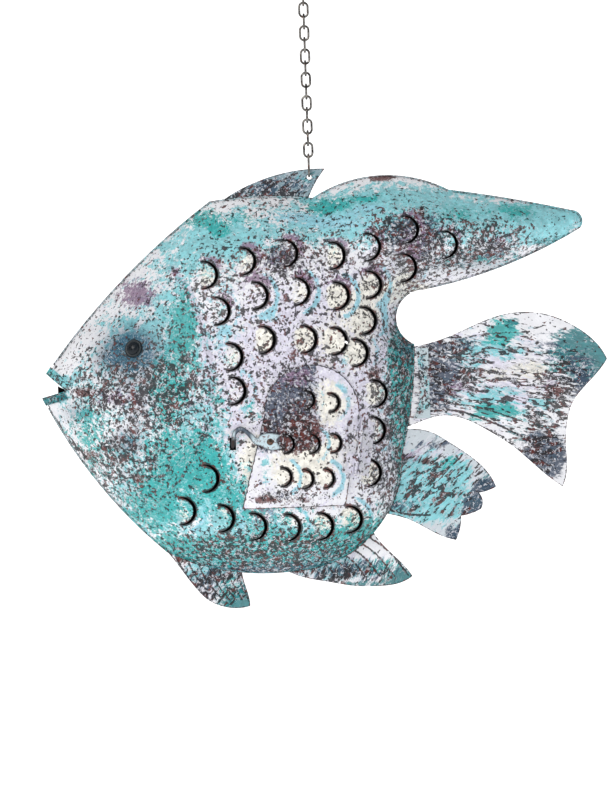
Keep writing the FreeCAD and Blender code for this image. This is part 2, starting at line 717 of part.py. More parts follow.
def add_link(name, reach, centre_z, edge_on):
    """One welded oval link: a circle swept round two bends and two straights; reach is wire to wire."""
    body = doc.addObject("PartDesign::Body", name + "_body")
    planes = {item.Role: item for item in body.Origin.OriginFeatures}
    path = body.newObject("Sketcher::SketchObject", name + "_path")
    path.AttachmentSupport = [(planes["XZ_Plane"], "")]
    path.MapMode = "FlatFace"
    bend = size("link_bend")
    leg = reach / 2 - bend
    path.addGeometry([
        Part.LineSegment(Vector(bend, -leg, 0), Vector(bend, leg, 0)),
        Part.ArcOfCircle(Part.Circle(Vector(0, leg, 0), Z_AXIS, bend), 0, math.pi),
        Part.LineSegment(Vector(-bend, leg, 0), Vector(-bend, -leg, 0)),
        Part.ArcOfCircle(Part.Circle(Vector(0, -leg, 0), Z_AXIS, bend), math.pi, 2 * math.pi),
    ], False)
    wire = body.newObject("Sketcher::SketchObject", name + "_wire")
    wire.AttachmentSupport = [(planes["XY_Plane"], "")]
    wire.MapMode = "FlatFace"
    wire.addGeometry(Part.Circle(Vector(bend, 0, 0), Z_AXIS, size("link_wire")), False)
    wire.addConstraint(Sketcher.Constraint("Radius", 0, size("link_wire")))
    wire.setExpression("Constraints[0]", "Sizes.link_wire")
    pipe = body.newObject("PartDesign::AdditivePipe", name + "_pipe")
    pipe.Profile = wire
    pipe.Spine = (path, ["Edge1", "Edge2", "Edge3", "Edge4"])
    turn = Rotation(Z_AXIS, 90) if edge_on else Rotation()
    body.Placement = Placement(Vector(0, 0, centre_z), turn)
    keep(name, body)


add_link("fin_link", size("fin_link_reach"), (wire_bottom + fin_link_top) / 2, True)
for index in range(int(size("link_count"))):
    height = first_link_z + index * size("link_pitch")
    add_link("chain_link_%02d" % (index + 1), link_reach, height, index % 2 == 1)

ring = doc.addObject("Part::Torus", "hang_ring_torus")
ring.setExpression("Radius1", "Sizes.ring_radius")
ring.setExpression("Radius2", "Sizes.ring_wire")
ring.Placement = Placement(Vector(0, 0, ring_centre_z), Rotation(Vector(1, 0, 0), 90))
keep("hang_ring", ring)

# ---------------------------------------------------------------- checks and export

doc.recompute()
for obj in doc.Objects:
    if "Invalid" in obj.State or "Error" in obj.State:
        raise RuntimeError("%s failed: %s" % (obj.Label, obj.State))
os.makedirs("parts", exist_ok=True)
for name, obj in subparts.items():
    shape = obj.Shape
    if shape.isNull() or not shape.isValid() or not shape.Solids:
        raise RuntimeError("%s has no valid solid" % name)
    shape.exportStep("parts/%s.step" % name)
    print("%-18s %d solid(s) %10.1f mm3" % (name, len(shape.Solids), shape.Volume))
print("chain hole at z = %.2f" % HOLE_Z)
link_heights = (HOLE_Z + wire_bottom, HOLE_Z + first_link_z)
print("wire in the fin at z = %.2f, first link's centre at z = %.2f" % link_heights)
print("hinge axis from %s along %s" % (hinge_low + Vector(0, 0, HOLE_Z), hinge_up))
print("latch pivot at %s along %s" % (latch_place.Base + Vector(0, 0, HOLE_Z), latch_out))
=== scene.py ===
"""Looks of the hanging sheet-metal fish lantern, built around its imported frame.

The fish's own plane coordinates are millimetres: x from the head (-) to the tail (+), z up, with the chain
hole in the dorsal fin at (0, 0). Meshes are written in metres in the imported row's frame.
"""

import json
import math

import bpy
import numpy as np
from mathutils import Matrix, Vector
from mathutils.geometry import delaunay_2d_cdt
from mathutils.kdtree import KDTree


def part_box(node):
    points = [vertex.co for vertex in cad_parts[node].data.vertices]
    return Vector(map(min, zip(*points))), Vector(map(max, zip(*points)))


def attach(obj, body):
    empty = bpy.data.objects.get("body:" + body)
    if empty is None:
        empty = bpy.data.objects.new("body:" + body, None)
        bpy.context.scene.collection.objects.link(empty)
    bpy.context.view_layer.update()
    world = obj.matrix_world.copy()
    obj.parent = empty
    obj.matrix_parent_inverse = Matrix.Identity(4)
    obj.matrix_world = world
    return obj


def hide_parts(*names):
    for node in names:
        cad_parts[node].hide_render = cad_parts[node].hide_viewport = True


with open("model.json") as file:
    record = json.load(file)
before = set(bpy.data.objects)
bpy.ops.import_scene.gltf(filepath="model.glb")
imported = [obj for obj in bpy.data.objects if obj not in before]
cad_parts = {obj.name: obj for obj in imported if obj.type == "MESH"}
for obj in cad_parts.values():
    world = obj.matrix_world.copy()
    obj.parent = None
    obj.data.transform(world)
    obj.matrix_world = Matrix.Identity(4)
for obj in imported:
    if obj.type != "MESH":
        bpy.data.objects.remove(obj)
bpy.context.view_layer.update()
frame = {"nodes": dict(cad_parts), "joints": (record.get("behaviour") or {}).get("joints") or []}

MM = 0.001
JOINTS = {joint["name"]: joint for joint in frame["joints"]}
WIRE_ABOVE_HOLE = 0.9
HOLE_Z = JOINTS["fish_swing"]["pos_m"][2] / MM - WIRE_ABOVE_HOLE
LEFT = -1
RIGHT = 1
rng = np.random.default_rng(7)

# ---------------------------------------------------------------- the pressed shape, as in the CAD model

ARCS = {
    # outline arcs of the shells: centre x, centre z, radius
    "head_top": (352, -668, 791),
    "crown": (-52, -420, 400),
    "chin": (180, -3, 522),
    "belly": (-56, -181, 240),
    "haunch": (-313, -97, 450),
    "rear": (-325, -178, 430),
    "rump": (-32, -300, 119.5),
    "hump": (79, -145, 143),
    "horn_top": (-82, -1502, 1500),
    "horn_end": (170, -68, 111),
    "horn_nose": (279, -56.5, 10.3),
    "horn_low": (31, 389, 519.5),
    "crotch": (118, -154.5, 31.5),
}
HEAD_ARCS = ("head_top", "crown", "chin", "belly", "haunch", "rear")
PUFF_HEIGHT = 95.0
PUFF_WIDTH = 66.0
SHELL_BASE = 0.3
SHELL_SHEET = 1.2
SKIN = SHELL_BASE + SHELL_SHEET
DOOR_GAP = 0.5
DOOR_SHEET = 1.0
HALF_SEAM = 0.9

# Going round the outline: each arc, and a point near the corner where it hands over to the next
OUTLINE = (
    ("head_top", (-107, -22)), ("crown", (-3, -24)), ("hump", (150, -21)), ("horn_top", (280, -46)),
    ("horn_nose", (283, -66)), ("horn_low", (106, -125)), ("crotch", (105, -183)), ("rear", (87, -304)),
    ("rump", (9, -412)), ("belly", (-167, -394)), ("chin", (-300, -208)),
)


def arc_depth(name, x, z):
    """About how far points lie inside one outline arc; negative outside."""
    cx, cz, radius = ARCS[name]
    return (radius ** 2 - (x - cx) ** 2 - (z - cz) ** 2) / (2 * radius)


def smooth_min(values, power=3):
    """A rounded minimum that is exact where any value is zero."""
    values = np.stack(values)
    lowest = values.min(axis=0)
    safe = np.maximum(values, 1e-6)
    rounded = (safe ** -float(power)).sum(axis=0) ** (-1.0 / power)
    return np.where(lowest <= 0, lowest, rounded)


def smooth_max(values, power=6):
    """A rounded maximum that is exact where only one value is positive."""
    values = np.stack(values)
    highest = values.max(axis=0)
    rounded = (np.maximum(values, 0) ** power).sum(axis=0) ** (1.0 / power)
    return np.where(highest <= 0, highest, rounded)


def fish_depth(x, z):
    """How far inside the fish's outline each point lies."""
    torso = smooth_min([arc_depth(name, x, z) for name in HEAD_ARCS])
    taper = smooth_min([arc_depth("horn_top", x, z), arc_depth("horn_end", x, z)])
    swell = smooth_max([taper, arc_depth("hump", x, z), arc_depth("horn_nose", x, z)])
    horn = smooth_min([swell, arc_depth("horn_low", x, z)])
    return smooth_min([smooth_max([torso, arc_depth("rump", x, z), horn]), -arc_depth("crotch", x, z)])


def bulge(x, z):
    """Height of a shell's mid surface above the seam plane."""
    return PUFF_HEIGHT * np.tanh(fish_depth(x, z) / PUFF_WIDTH)


def corner_between(first, second, near):
    """Where two outline arcs cross, nearest the point given."""
    (x0, z0, r0), (x1, z1, r1) = ARCS[first], ARCS[second]
    gap = math.hypot(x1 - x0, z1 - z0)
    along = (r0 ** 2 - r1 ** 2 + gap ** 2) / (2 * gap)
    off = math.sqrt(max(r0 ** 2 - along ** 2, 0))
    ux, uz = (x1 - x0) / gap, (z1 - z0) / gap
    foot = (x0 + ux * along, z0 + uz * along)
    choices = [(foot[0] - uz * off * sign, foot[1] + ux * off * sign) for sign in (1, -1)]
    return min(choices, key=lambda p: math.dist(p, near))


def fish_outline(spacing):
    """The shells' outline as a closed run of points, arc by arc."""
    names = [name for name, _ in OUTLINE]
    following = names[1:] + names[:1]
    corners = [corner_between(name, after, near) for (name, near), after in zip(OUTLINE, following)]
    points = []
    for i, name in enumerate(names):
        cx, cz, radius = ARCS[name]
        start, end = corners[i - 1], corners[i]
        a0 = math.atan2(start[1] - cz, start[0] - cx)
        a1 = math.atan2(end[1] - cz, end[0] - cx)
        turn = (a1 - a0 + math.pi) % (2 * math.pi) - math.pi
        steps = max(2, int(abs(turn) * radius / spacing))
        for k in range(steps):
            angle = a0 + turn * k / steps
            points.append((cx + radius * math.cos(angle), cz + radius * math.sin(angle)))
    return np.array(points)


# ---------------------------------------------------------------- mesh tools

# Shares of a mesh's spacing: the step between rows of equal-sided triangles, and the room along the rim
ROW_STEP = 0.866
RIM_ROOM = 0.55
# How many points one block of the inside test takes, to spare memory
TEST_BLOCK = 2000


def inside(points, loops):
    """Even-odd test of points against closed loops: True inside an outline and outside its holes."""
    odd = np.zeros(len(points), dtype=bool)
    px, pz = points[:, 0], points[:, 1]
    for loop in loops:
        ax, az = loop[:, 0], loop[:, 1]
        bx, bz = np.roll(ax, -1), np.roll(az, -1)
        near = (px > ax.min() - 1) & (px < ax.max() + 1) & (pz > az.min() - 1) & (pz < az.max() + 1)
        rows = np.nonzero(near)[0]
        for start in range(0, len(rows), TEST_BLOCK):
            part = rows[start:start + TEST_BLOCK]
            x, z = px[part, None], pz[part, None]
            crosses = (az > z) != (bz > z)
            at = (bx - ax) * (z - az) / np.where(bz == az, 1e-9, bz - az) + ax
            odd[part] ^= (crosses & (x < at)).sum(axis=1) % 2 == 1
    return odd


def fill_region(loops, spacing):
    """Points and triangles that fill the region inside the loops."""
    low = np.min([loop.min(axis=0) for loop in loops], axis=0)
    high = np.max([loop.max(axis=0) for loop in loops], axis=0)
    rows = []
    for k, z in enumerate(np.arange(low[1], high[1], spacing * ROW_STEP)):
        xs = np.arange(low[0] + (k % 2) * spacing / 2, high[0], spacing)
        rows.append(np.column_stack([xs, np.full(len(xs), z)]))
    grid = np.concatenate(rows)
    grid = grid[inside(grid, loops)]
    rim = np.concatenate(loops)
    tree = KDTree(len(rim))
    for i, (x, z) in enumerate(rim):
        tree.insert((x, z, 0), i)
    tree.balance()
    clear = [tree.find((x, z, 0))[2] > RIM_ROOM * spacing for x, z in grid]
    points = np.concatenate([rim, grid[clear]])
    edges = []
    start = 0
    for loop in loops:
        count = len(loop)
        edges += [(start + i, start + (i + 1) % count) for i in range(count)]
        start += count
    made = delaunay_2d_cdt([Vector(p) for p in points], edges, [], 0, 1e-4)
    flat = np.array([tuple(v) for v in made[0]])
    triangles = np.array([face for face in made[2] if len(face) == 3])
    middle = flat[triangles].mean(axis=1)
    triangles = triangles[inside(middle, loops)]
    return flat, triangles


def rim_edges(triangles):
    """Directed edges that only one triangle uses."""
    edges = np.concatenate([triangles[:, [0, 1]], triangles[:, [1, 2]], triangles[:, [2, 0]]])
    seen = {}
    for a, b in edges:
        key = (min(a, b), max(a, b))
        seen[key] = None if key in seen else (a, b)
    return np.array([edge for edge in seen.values() if edge is not None])


def add_mesh(name, vertices, faces, material, sharp=35):
    """A smooth-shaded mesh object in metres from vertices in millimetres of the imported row's frame."""
    mesh = bpy.data.meshes.new(name)
    mesh.from_pydata((np.asarray(vertices) * MM).tolist(), [], [list(map(int, face)) for face in faces])
    mesh.validate()
    mesh.polygons.foreach_set("use_smooth", [True] * len(mesh.polygons))
    mesh.set_sharp_from_angle(angle=math.radians(sharp))
    piece = bpy.data.objects.new(name, mesh)
    bpy.context.scene.collection.objects.link(piece)
    mesh.materials.append(material)
    return piece


def sheet_geometry(loops, spacing, outer, inner, mirrored=False):
    """A closed sheet over a plane region: its (u, v, height) points and faces, whose outer side faces up."""
    flat, triangles = fill_region(loops, spacing)
    u, v = flat[:, 0], flat[:, 1]
    a, b, c = flat[triangles[:, 0]], flat[triangles[:, 1]], flat[triangles[:, 2]]
    area = (b[:, 0] - a[:, 0]) * (c[:, 1] - a[:, 1]) - (b[:, 1] - a[:, 1]) * (c[:, 0] - a[:, 0])
    upward = np.where((area > 0)[:, None], triangles, triangles[:, ::-1])
    if mirrored:
        upward = upward[:, ::-1]
    count = len(flat)
    walls = [(b, a, a + count, b + count) for a, b in rim_edges(upward)]
    faces = [tuple(face) for face in upward] + [tuple(face[::-1] + count) for face in upward] + walls
    points = np.concatenate([np.column_stack([u, v, outer(u, v)]), np.column_stack([u, v, inner(u, v)])])
    return points, faces


def sheet_piece(name, loops, spacing, outer, inner, material, sides=(LEFT,)):
    """A sheet over a region of the seam plane; outer and inner give its faces' distance from that plane."""
    vertices = np.empty((0, 3))
    faces = []
    depth = []
    for side in sides:
        points, side_faces = sheet_geometry(loops, spacing, outer, inner, side == RIGHT)
        depth += [0.0] * (len(points) // 2) + [1.0] * (len(points) // 2)
        faces += [tuple(i + len(vertices) for i in face) for face in side_faces]
        placed = np.column_stack([points[:, 0], side * points[:, 2], points[:, 1] + HOLE_Z])
        vertices = np.concatenate([vertices, placed])
    piece = add_mesh(name, vertices, faces, material)
    attribute(piece, "back", depth)
    return piece


def attribute(piece, name, values):
    """Stores one number per vertex for the material to read."""
    layer = piece.data.attributes.new(name, "FLOAT", "POINT")
    layer.data.foreach_set("value", np.asarray(values, dtype=np.float32))


def plane_points(piece):
    """The vertices' fish-plane coordinates, in millimetres."""
    points = np.empty(len(piece.data.vertices) * 3)
    piece.data.vertices.foreach_get("co", points)
    points = points.reshape(-1, 3) / MM
    return points[:, 0], points[:, 2] - HOLE_Z


def distance_to_line(x, z, line):
    """Distance of points to an open run of straight pieces, and how far along it they fall, from 0 to 1."""
    best = np.full(len(x), 1e9)
    place = np.zeros(len(x))
    line = np.asarray(line, dtype=float)
    lengths = np.hypot(*(line[1:] - line[:-1]).T)
    travelled = np.concatenate([[0], np.cumsum(lengths)])
    for i, (a, b) in enumerate(zip(line, line[1:])):
        span = b - a
        t = np.clip(((x - a[0]) * span[0] + (z - a[1]) * span[1]) / (span @ span), 0, 1)
        gap = np.hypot(x - a[0] - t * span[0], z - a[1] - t * span[1])
        closer = gap < best
        best = np.where(closer, gap, best)
        place = np.where(closer, (travelled[i] + t * lengths[i]) / travelled[-1], place)
    return best, place


def catmull(p0, p1, p2, p3, u):
    """The Catmull-Rom point a share u of the way from p1 to p2."""
    return 0.5 * (2 * p1 + (p2 - p0) * u + (2 * p0 - 5 * p1 + 4 * p2 - p3) * u ** 2
                  + (3 * p1 - p0 - 3 * p2 + p3) * u ** 3)


def smooth_line(points, count):
    """A smooth run of points through a few given ones."""
    points = np.asarray(points, dtype=float)
    padded = np.vstack([2 * points[0] - points[1], points, 2 * points[-1] - points[-2]])
    result = []
    for t in np.linspace(0, len(points) - 1, count):
        i = min(int(t), len(points) - 2)
        result.append(catmull(*padded[i:i + 4], t - i))
    return np.array(result)


def closed(loop):
    """A loop's points with the first repeated at the end."""
    return np.vstack([loop, loop[:1]])


def bell(distance, width):
    """A bell curve: 1 at no distance, falling to a third at the width given."""
    return np.exp(-(distance / width) ** 2)


def stand_in(piece, body, node):
    """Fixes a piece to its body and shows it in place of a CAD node."""
    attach(piece, body)
    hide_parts(node)


def rise(value, low, high):
    """A smooth step from 0 at low to 1 at high."""
    t = np.clip((value - low) / (high - low), 0, 1)
    return t * t * (3 - 2 * t)


# ---------------------------------------------------------------- relief of the pressed shells

SCALE_RADIUS = 15.0
SCALE_GAP = 3.4
DOOR_SCALE_RADIUS = 10.5
DOOR_SCALE_GAP = 2.6
SLIT_SPREAD = math.radians(100)
SCALES = (
    (-115, -102), (-103, -141), (-91, -190), (-89, -226), (-121, -318), (-147, -352),
    (-74, -89), (-62, -126), (-56, -173), (-106, -361),
    (-29, -82), (-18, -123), (-12, -174), (-72, -371),
    (21, -86), (24, -129), (20, -177), (-36, -373),
    (59, -78), (59, -118), (52, -156), (42, -190), (-1, -373),
    (100, -61), (97, -101), (61, -234), (58, -273), (52, -318), (30, -367),
    (141, -78),
)
RIGHT_SHIFT = (-14, 0)
RIGHT_ONLY_SCALES = ((-59, -213), (-28, -221), (12, -216), (-52, -262), (-22, -265), (30, -271),
                     (-62, -310), (-31, -322), (15, -319))
DOOR_SCALES = ((-12, -238), (14, -242), (-35, -284), (-8, -285), (15, -285),
               (-39, -319), (-16, -322), (6, -322))
GILL = smooth_line([(-149, -93), (-135, -117), (-122, -154), (-115, -187), (-113, -224), (-120, -267),
                    (-135, -299), (-154, -325), (-171, -340)], 40)
HORN_CREASE = smooth_line([(89, -150), (90, -131), (93, -119), (113, -111), (130, -96), (170, -84),
                           (215, -72)], 30)


def slit_loop(centre, radius, gap):
    """The crescent hole's outline, anticlockwise from its lower end."""
    x, z = centre
    end_gap = 0.25 * gap
    angles = np.linspace(-SLIT_SPREAD, SLIT_SPREAD, 25)
    outer = np.column_stack([x + radius * np.cos(angles), z + radius * np.sin(angles)])
    # circle through the inner ends and the slit's inner middle
    end = radius - end_gap
    ex, ez = end * math.cos(SLIT_SPREAD), end * math.sin(SLIT_SPREAD)
    mx = radius - gap
    cx = (mx * mx - ex * ex - ez * ez) / (2 * (mx - ex))
    inner_radius = mx - cx
    spread = math.atan2(ez, ex - cx)
    angles = np.linspace(spread, -spread, 23)
    inner = np.column_stack([x + cx + inner_radius * np.cos(angles), z + inner_radius * np.sin(angles)])
    return np.concatenate([outer, inner])


def tongue_lift(x, z, scales, radius, gap, lift):
    """The tongue inside each slit stands proud towards the slit; outside it the sheet dips a little."""
    total = np.zeros(len(x))
    for cx, cz in scales:
        dx, dz = x - cx, z - cz
        reach = np.hypot(dx, dz)
        inner = reach < radius - gap * 0.45
        slope = rise(dx / radius, -0.35, 0.95)
        total += np.where(inner, lift * slope, 0)
        dip = bell(reach - radius, 4.0) * (dx > -0.2 * radius) * (~inner)
        total -= dip * 0.5
    return total


DENT_COUNT = 300
# Hammer marks: x, z, radius, depth
DENTS = np.column_stack([rng.uniform(-300, 300, DENT_COUNT), rng.uniform(-430, 10, DENT_COUNT),
                         rng.uniform(9, 24, DENT_COUNT), rng.normal(0, 0.45, DENT_COUNT)])


def hammered(x, z):
    """Shallow hammer marks all over the sheet."""
    total = np.zeros(len(x))
    for cx, cz, radius, depth in DENTS:
        near = (np.abs(x - cx) < 3 * radius) & (np.abs(z - cz) < 3 * radius)
        total[near] += depth * np.exp(-((x[near] - cx) ** 2 + (z[near] - cz) ** 2) / radius ** 2)
    return total


def door_fade(x, z):
    """0 under the door, so that it closes flat on the shell, rising to 1 a little way outside it."""
    edge = door_loop(0.0)
    gap, _ = distance_to_line(x, z, closed(edge))
    return np.where(inside(np.column_stack([x, z]), [edge]), 0.0, rise(gap, 1, 12))


def shell_relief(x, z, scales):
    """Height added to the shell's outer face by hammering, the gill line, creases and punched scales."""
    rim_fade = rise(fish_depth(x, z), 1, 14)
    gill, along = distance_to_line(x, z, GILL)
    fade = rise(along, 0, 0.12) * rise(1 - along, 0, 0.12)
    ridge = 1.8 * bell(gill, 3.6) - bell(gill - 6.5, 2.0)
    crease, run = distance_to_line(x, z, HORN_CREASE)
    fold = 2.2 * bell(crease, 4.5) * rise(1 - run, 0, 0.5)
    relief = rim_fade * (door_fade(x, z) * hammered(x, z) + fade * ridge + fold)
    return relief + tongue_lift(x, z, scales, SCALE_RADIUS, SCALE_GAP, 2.6)


# ---------------------------------------------------------------- material tools

class Nodes:
    """A small writer for one material's node tree; most calls return an output socket."""

    def __init__(self, name):
        self.material = bpy.data.materials.new(name)
        self.material.use_nodes = True
        self.tree = self.material.node_tree
        self.shader = self.tree.nodes["Principled BSDF"]
        self.place = self.node("ShaderNodeTexCoord").outputs["Object"]

    def node(self, kind, **settings):
        made = self.tree.nodes.new(kind)
        for key, value in settings.items():
            setattr(made, key, value)
        return made

    def put(self, socket, value):
        """Links a socket, or sets a plain value, on an input."""
        if isinstance(value, bpy.types.NodeSocket):
            self.tree.links.new(value, socket)
        elif isinstance(value, (tuple, list)) and len(value) == 3 and len(socket.default_value) == 4:
            socket.default_value = (*value, 1)
        else:
            socket.default_value = value

    def math(self, operation, a, b=0.0, c=0.0):
        made = self.node("ShaderNodeMath", operation=operation)
        for socket, value in zip(made.inputs, (a, b, c)):
            self.put(socket, value)
        return made.outputs[0]

    def scaled(self, value, factor, offset):
        return self.math("MULTIPLY_ADD", value, factor, offset)

    def attribute(self, name):
        return self.node("ShaderNodeAttribute", attribute_name=name).outputs["Fac"]

    def noise(self, size_mm, detail=4, rough=0.6, distortion=0.0, place=None):
        """Noise whose features are about size_mm across."""
        made = self.node("ShaderNodeTexNoise")
        self.put(made.inputs["Vector"], place or self.place)
        made.inputs["Scale"].default_value = 1 / (size_mm * MM)
        made.inputs["Detail"].default_value = detail
        made.inputs["Roughness"].default_value = rough
        made.inputs["Distortion"].default_value = distortion
        return made.outputs["Fac"]

    def cells(self, size_mm, feature="F1", place=None):
        made = self.node("ShaderNodeTexVoronoi", feature=feature)
        self.put(made.inputs["Vector"], place or self.place)
        made.inputs["Scale"].default_value = 1 / (size_mm * MM)
        return made

    def warped(self, size_mm, amount_mm):
        """The object's coordinates, wandering by up to about amount_mm."""
        noise = self.node("ShaderNodeTexNoise")
        self.put(noise.inputs["Vector"], self.place)
        noise.inputs["Scale"].default_value = 1 / (size_mm * MM)
        noise.inputs["Detail"].default_value = 3
        shift = self.node("ShaderNodeVectorMath", operation="MULTIPLY_ADD")
        self.put(shift.inputs[0], noise.outputs["Color"])
        shift.inputs[1].default_value = (2 * amount_mm * MM,) * 3
        self.put(shift.inputs[2], self.place)
        return shift.outputs[0]

    def step(self, value, low, high):
        """A smooth step of value from 0 at low to 1 at high."""
        made = self.node("ShaderNodeMapRange", interpolation_type="SMOOTHSTEP")
        self.put(made.inputs["Value"], value)
        made.inputs["From Min"].default_value = low
        made.inputs["From Max"].default_value = high
        return made.outputs["Result"]

    def mix(self, factor, a, b):
        made = self.node("ShaderNodeMix", data_type="RGBA")
        self.put(made.inputs[0], factor)
        self.put(made.inputs[6], a)
        self.put(made.inputs[7], b)
        return made.outputs[2]

    def bump(self, height, distance_mm, strength):
        made = self.node("ShaderNodeBump")
        self.put(made.inputs["Height"], height)
        made.inputs["Distance"].default_value = distance_mm * MM
        made.inputs["Strength"].default_value = strength
        return made.outputs["Normal"]

    def finish(self, color, roughness, normal=None, metallic=0.0, specular=0.5):
        self.put(self.shader.inputs["Base Color"], color)
        self.put(self.shader.inputs["Roughness"], roughness)
        self.put(self.shader.inputs["Metallic"], metallic)
        self.shader.inputs["Specular IOR Level"].default_value = specular
        if normal is not None:
            self.put(self.shader.inputs["Normal"], normal)
        return self.material


def rgb(red, green, blue):
    """Linear colour from an sRGB one given in 0 to 255."""
    shares = [channel / 255 for channel in (red, green, blue)]
    return tuple(((c + 0.055) / 1.055) ** 2.4 if c > 0.04 else c / 12.92 for c in shares)


PALE = rgb(240, 240, 244)
LAVENDER = rgb(218, 214, 232)
CREAM = rgb(242, 238, 226)
HAZE = rgb(22, 84, 108)
AQUA = rgb(124, 202, 210)
BRUSHED_BLUE = rgb(146, 206, 222)
TURQUOISE = rgb(24, 168, 166)
TEAL = rgb(10, 118, 124)
SLATE = rgb(44, 62, 86)
MAUVE = rgb(140, 112, 140)
INK = rgb(26, 20, 24)
RUST = rgb(92, 34, 26)
ORANGE = rgb(176, 104, 58)
DRY_WHITE = rgb(226, 224, 230)
FLECK_WHITE = rgb(206, 208, 216)
# painted shade for the inner face of the shells and the door
INSIDE_SHADE = rgb(34, 28, 28)

# The layers of paint, from the bottom up: attribute, colour, patch size in mm, edge raggedness
WASHES = (
    ("lavender", LAVENDER, 16, 1.0),
    ("cream", CREAM, 14, 0.7),
    ("aqua", AQUA, 14, 1.9),
    ("brush", BRUSHED_BLUE, 12, 0.5),
    ("turquoise", TURQUOISE, 10, 1.9),
    ("teal", TEAL, 8, 1.5),
    ("slate", SLATE, 7, 1.3),
    ("mauve", MAUVE, 8, 1.2),
    ("rust", RUST, 6, 1.3),
)


def aged_paint(name, base=PALE, grain=None, levels=None):
    """Layered, sponged paint washes with splatter, spots, crackle and rust.

    The piece's attributes steer the layers; levels sets them for a whole piece instead.
    """
    n = Nodes(name)

    def level(layer):
        return n.attribute(layer) if levels is None else levels.get(layer, 0.0)

    place = grain(n) if grain else n.place
    sponge = n.noise(3.4, 4, 0.7, 0.5, place)
    broad = n.noise(34, 5, 0.62)
    color = n.mix(n.step(broad, 0.36, 0.66), base, tuple(0.88 * c for c in base))
    for layer, tint, size, ragged in WASHES:
        wash = level(layer)
        patch = n.noise(size, 7, 0.72, 0.6, place)
        edge = n.math("ADD", n.scaled(patch, ragged, -0.5 * ragged), n.scaled(sponge, 1.1, -0.55))
        covered = n.step(n.math("ADD", wash, edge), 0.36, 0.60)
        shown = n.math("MULTIPLY", covered, n.step(wash, 0.02, 0.2))
        pale_tint = tuple(min(1, 1.12 * c + 0.01) for c in tint)
        grain_share = n.step(n.noise(size * 0.5, 4, 0.7, 0, place), 0.35, 0.65)
        shade = n.mix(grain_share, tuple(0.76 * c for c in tint), pale_tint)
        color = n.mix(n.math("MULTIPLY", shown, 0.92), color, shade)
    hazed = n.math("MULTIPLY", level("haze"), n.step(n.noise(2.0, 3, 0.7), 0.2, 0.5))
    color = n.mix(hazed, color, HAZE)
    # a dry white brush, in patches of fine grain
    fine = n.step(n.noise(1.7, 4, 0.8, 0.5, place), 0.56, 0.62)
    dry = n.math("MULTIPLY", fine, n.step(n.noise(20, 4, 0.65), 0.42, 0.62))
    color = n.mix(n.math("MULTIPLY", dry, 0.65), color, DRY_WHITE)
    # stringy splatter, in clumps
    speck = level("speck")
    clump = n.scaled(n.noise(13, 5, 0.7), 0.42, -0.21)
    density = n.math("ADD", speck, clump)
    splatters = []
    for size, detail, most in ((4.2, 2, 0.72), (8.0, 5, 0.74)):
        threshold = n.scaled(density, -0.22, most)
        drop = n.noise(size, detail, 0.62, 0.35, place)
        splatters.append(n.step(n.math("SUBTRACT", drop, threshold), 0.0, 0.02))
    splatter = n.math("MAXIMUM", *splatters)
    # round spots of two sizes
    spots = []
    for size, share in ((4.6, 0.75), (9.0, 0.7)):
        cell = n.cells(size, place=n.warped(3.0, 0.5))
        split = n.node("ShaderNodeSeparateColor")
        n.put(split.inputs[0], cell.outputs["Color"])
        present = n.math("LESS_THAN", split.outputs[0], n.scaled(density, share, 0.06))
        radius = n.scaled(split.outputs[1], 0.17, 0.06)
        dot = n.step(n.math("SUBTRACT", radius, cell.outputs["Distance"]), 0.0, 0.05)
        spots.append(n.math("MULTIPLY", present, dot))
    # crackle, and the lines that the attribute draws
    crack_cell = n.cells(17, "DISTANCE_TO_EDGE", n.warped(12, 5))
    crack = n.step(crack_cell.outputs["Distance"], 0.020, 0.006)
    crack = n.math("MULTIPLY", crack, n.step(n.math("ADD", level("crack"), n.noise(30, 2)), 0.95, 1.1))
    drawn = n.step(n.math("ADD", level("line"), n.math("MULTIPLY", n.noise(3.0, 3), 1.3)), 1.16, 1.28)
    dark = n.math("MAXIMUM", n.math("MAXIMUM", splatter, spots[0]), n.math("MAXIMUM", spots[1], crack))
    dark = n.math("MAXIMUM", dark, drawn)
    ink = n.mix(n.step(n.noise(9, 4, 0.7), 0.52, 0.60), INK, RUST)
    color = n.mix(n.math("MULTIPLY", dark, 0.92), color, ink)
    fleck_share = n.math("MULTIPLY", n.step(n.math("ADD", speck, level("slate")), 0.5, 1.1), 0.85)
    flecks = n.step(n.noise(3.6, 3, 0.7, 0.8), 0.565, 0.59)
    color = n.mix(n.math("MULTIPLY", flecks, fleck_share), color, FLECK_WHITE)
    # painted shade: the inner face goes dark, so the inside of the lantern and the slits look unlit
    color = n.mix(level("inside"), color, INSIDE_SHADE)
    pits = n.math("MULTIPLY", dark, -1.0)
    grain_height = n.math("ADD", n.math("MULTIPLY", sponge, 0.5), pits)
    normal = n.bump(grain_height, 0.4, 0.8)
    rough = n.scaled(n.noise(9, 4), 0.3, 0.36)
    return n.finish(color, rough, normal, specular=0.4)


def bare_metal(name, dark, bright, rust_share, roughness=0.42):
    """Dull steel with a worn finish and patches of rust."""
    n = Nodes(name)
    color = n.mix(n.step(n.noise(3.5, 5, 0.7), 0.35, 0.65), dark, bright)
    rusted = n.step(n.noise(6, 6, 0.75, 0.8), 0.62 - rust_share, 0.72 - rust_share)
    color = n.mix(rusted, color, n.mix(n.noise(1.5, 3), RUST, ORANGE))
    rough = n.scaled(rusted, 0.35, roughness)
    metallic = n.scaled(rusted, -0.8, 0.9)
    normal = n.bump(n.noise(1.2, 4, 0.7), 0.12, 0.6)
    return n.finish(color, rough, normal, metallic)


# ---------------------------------------------------------------- painted zones

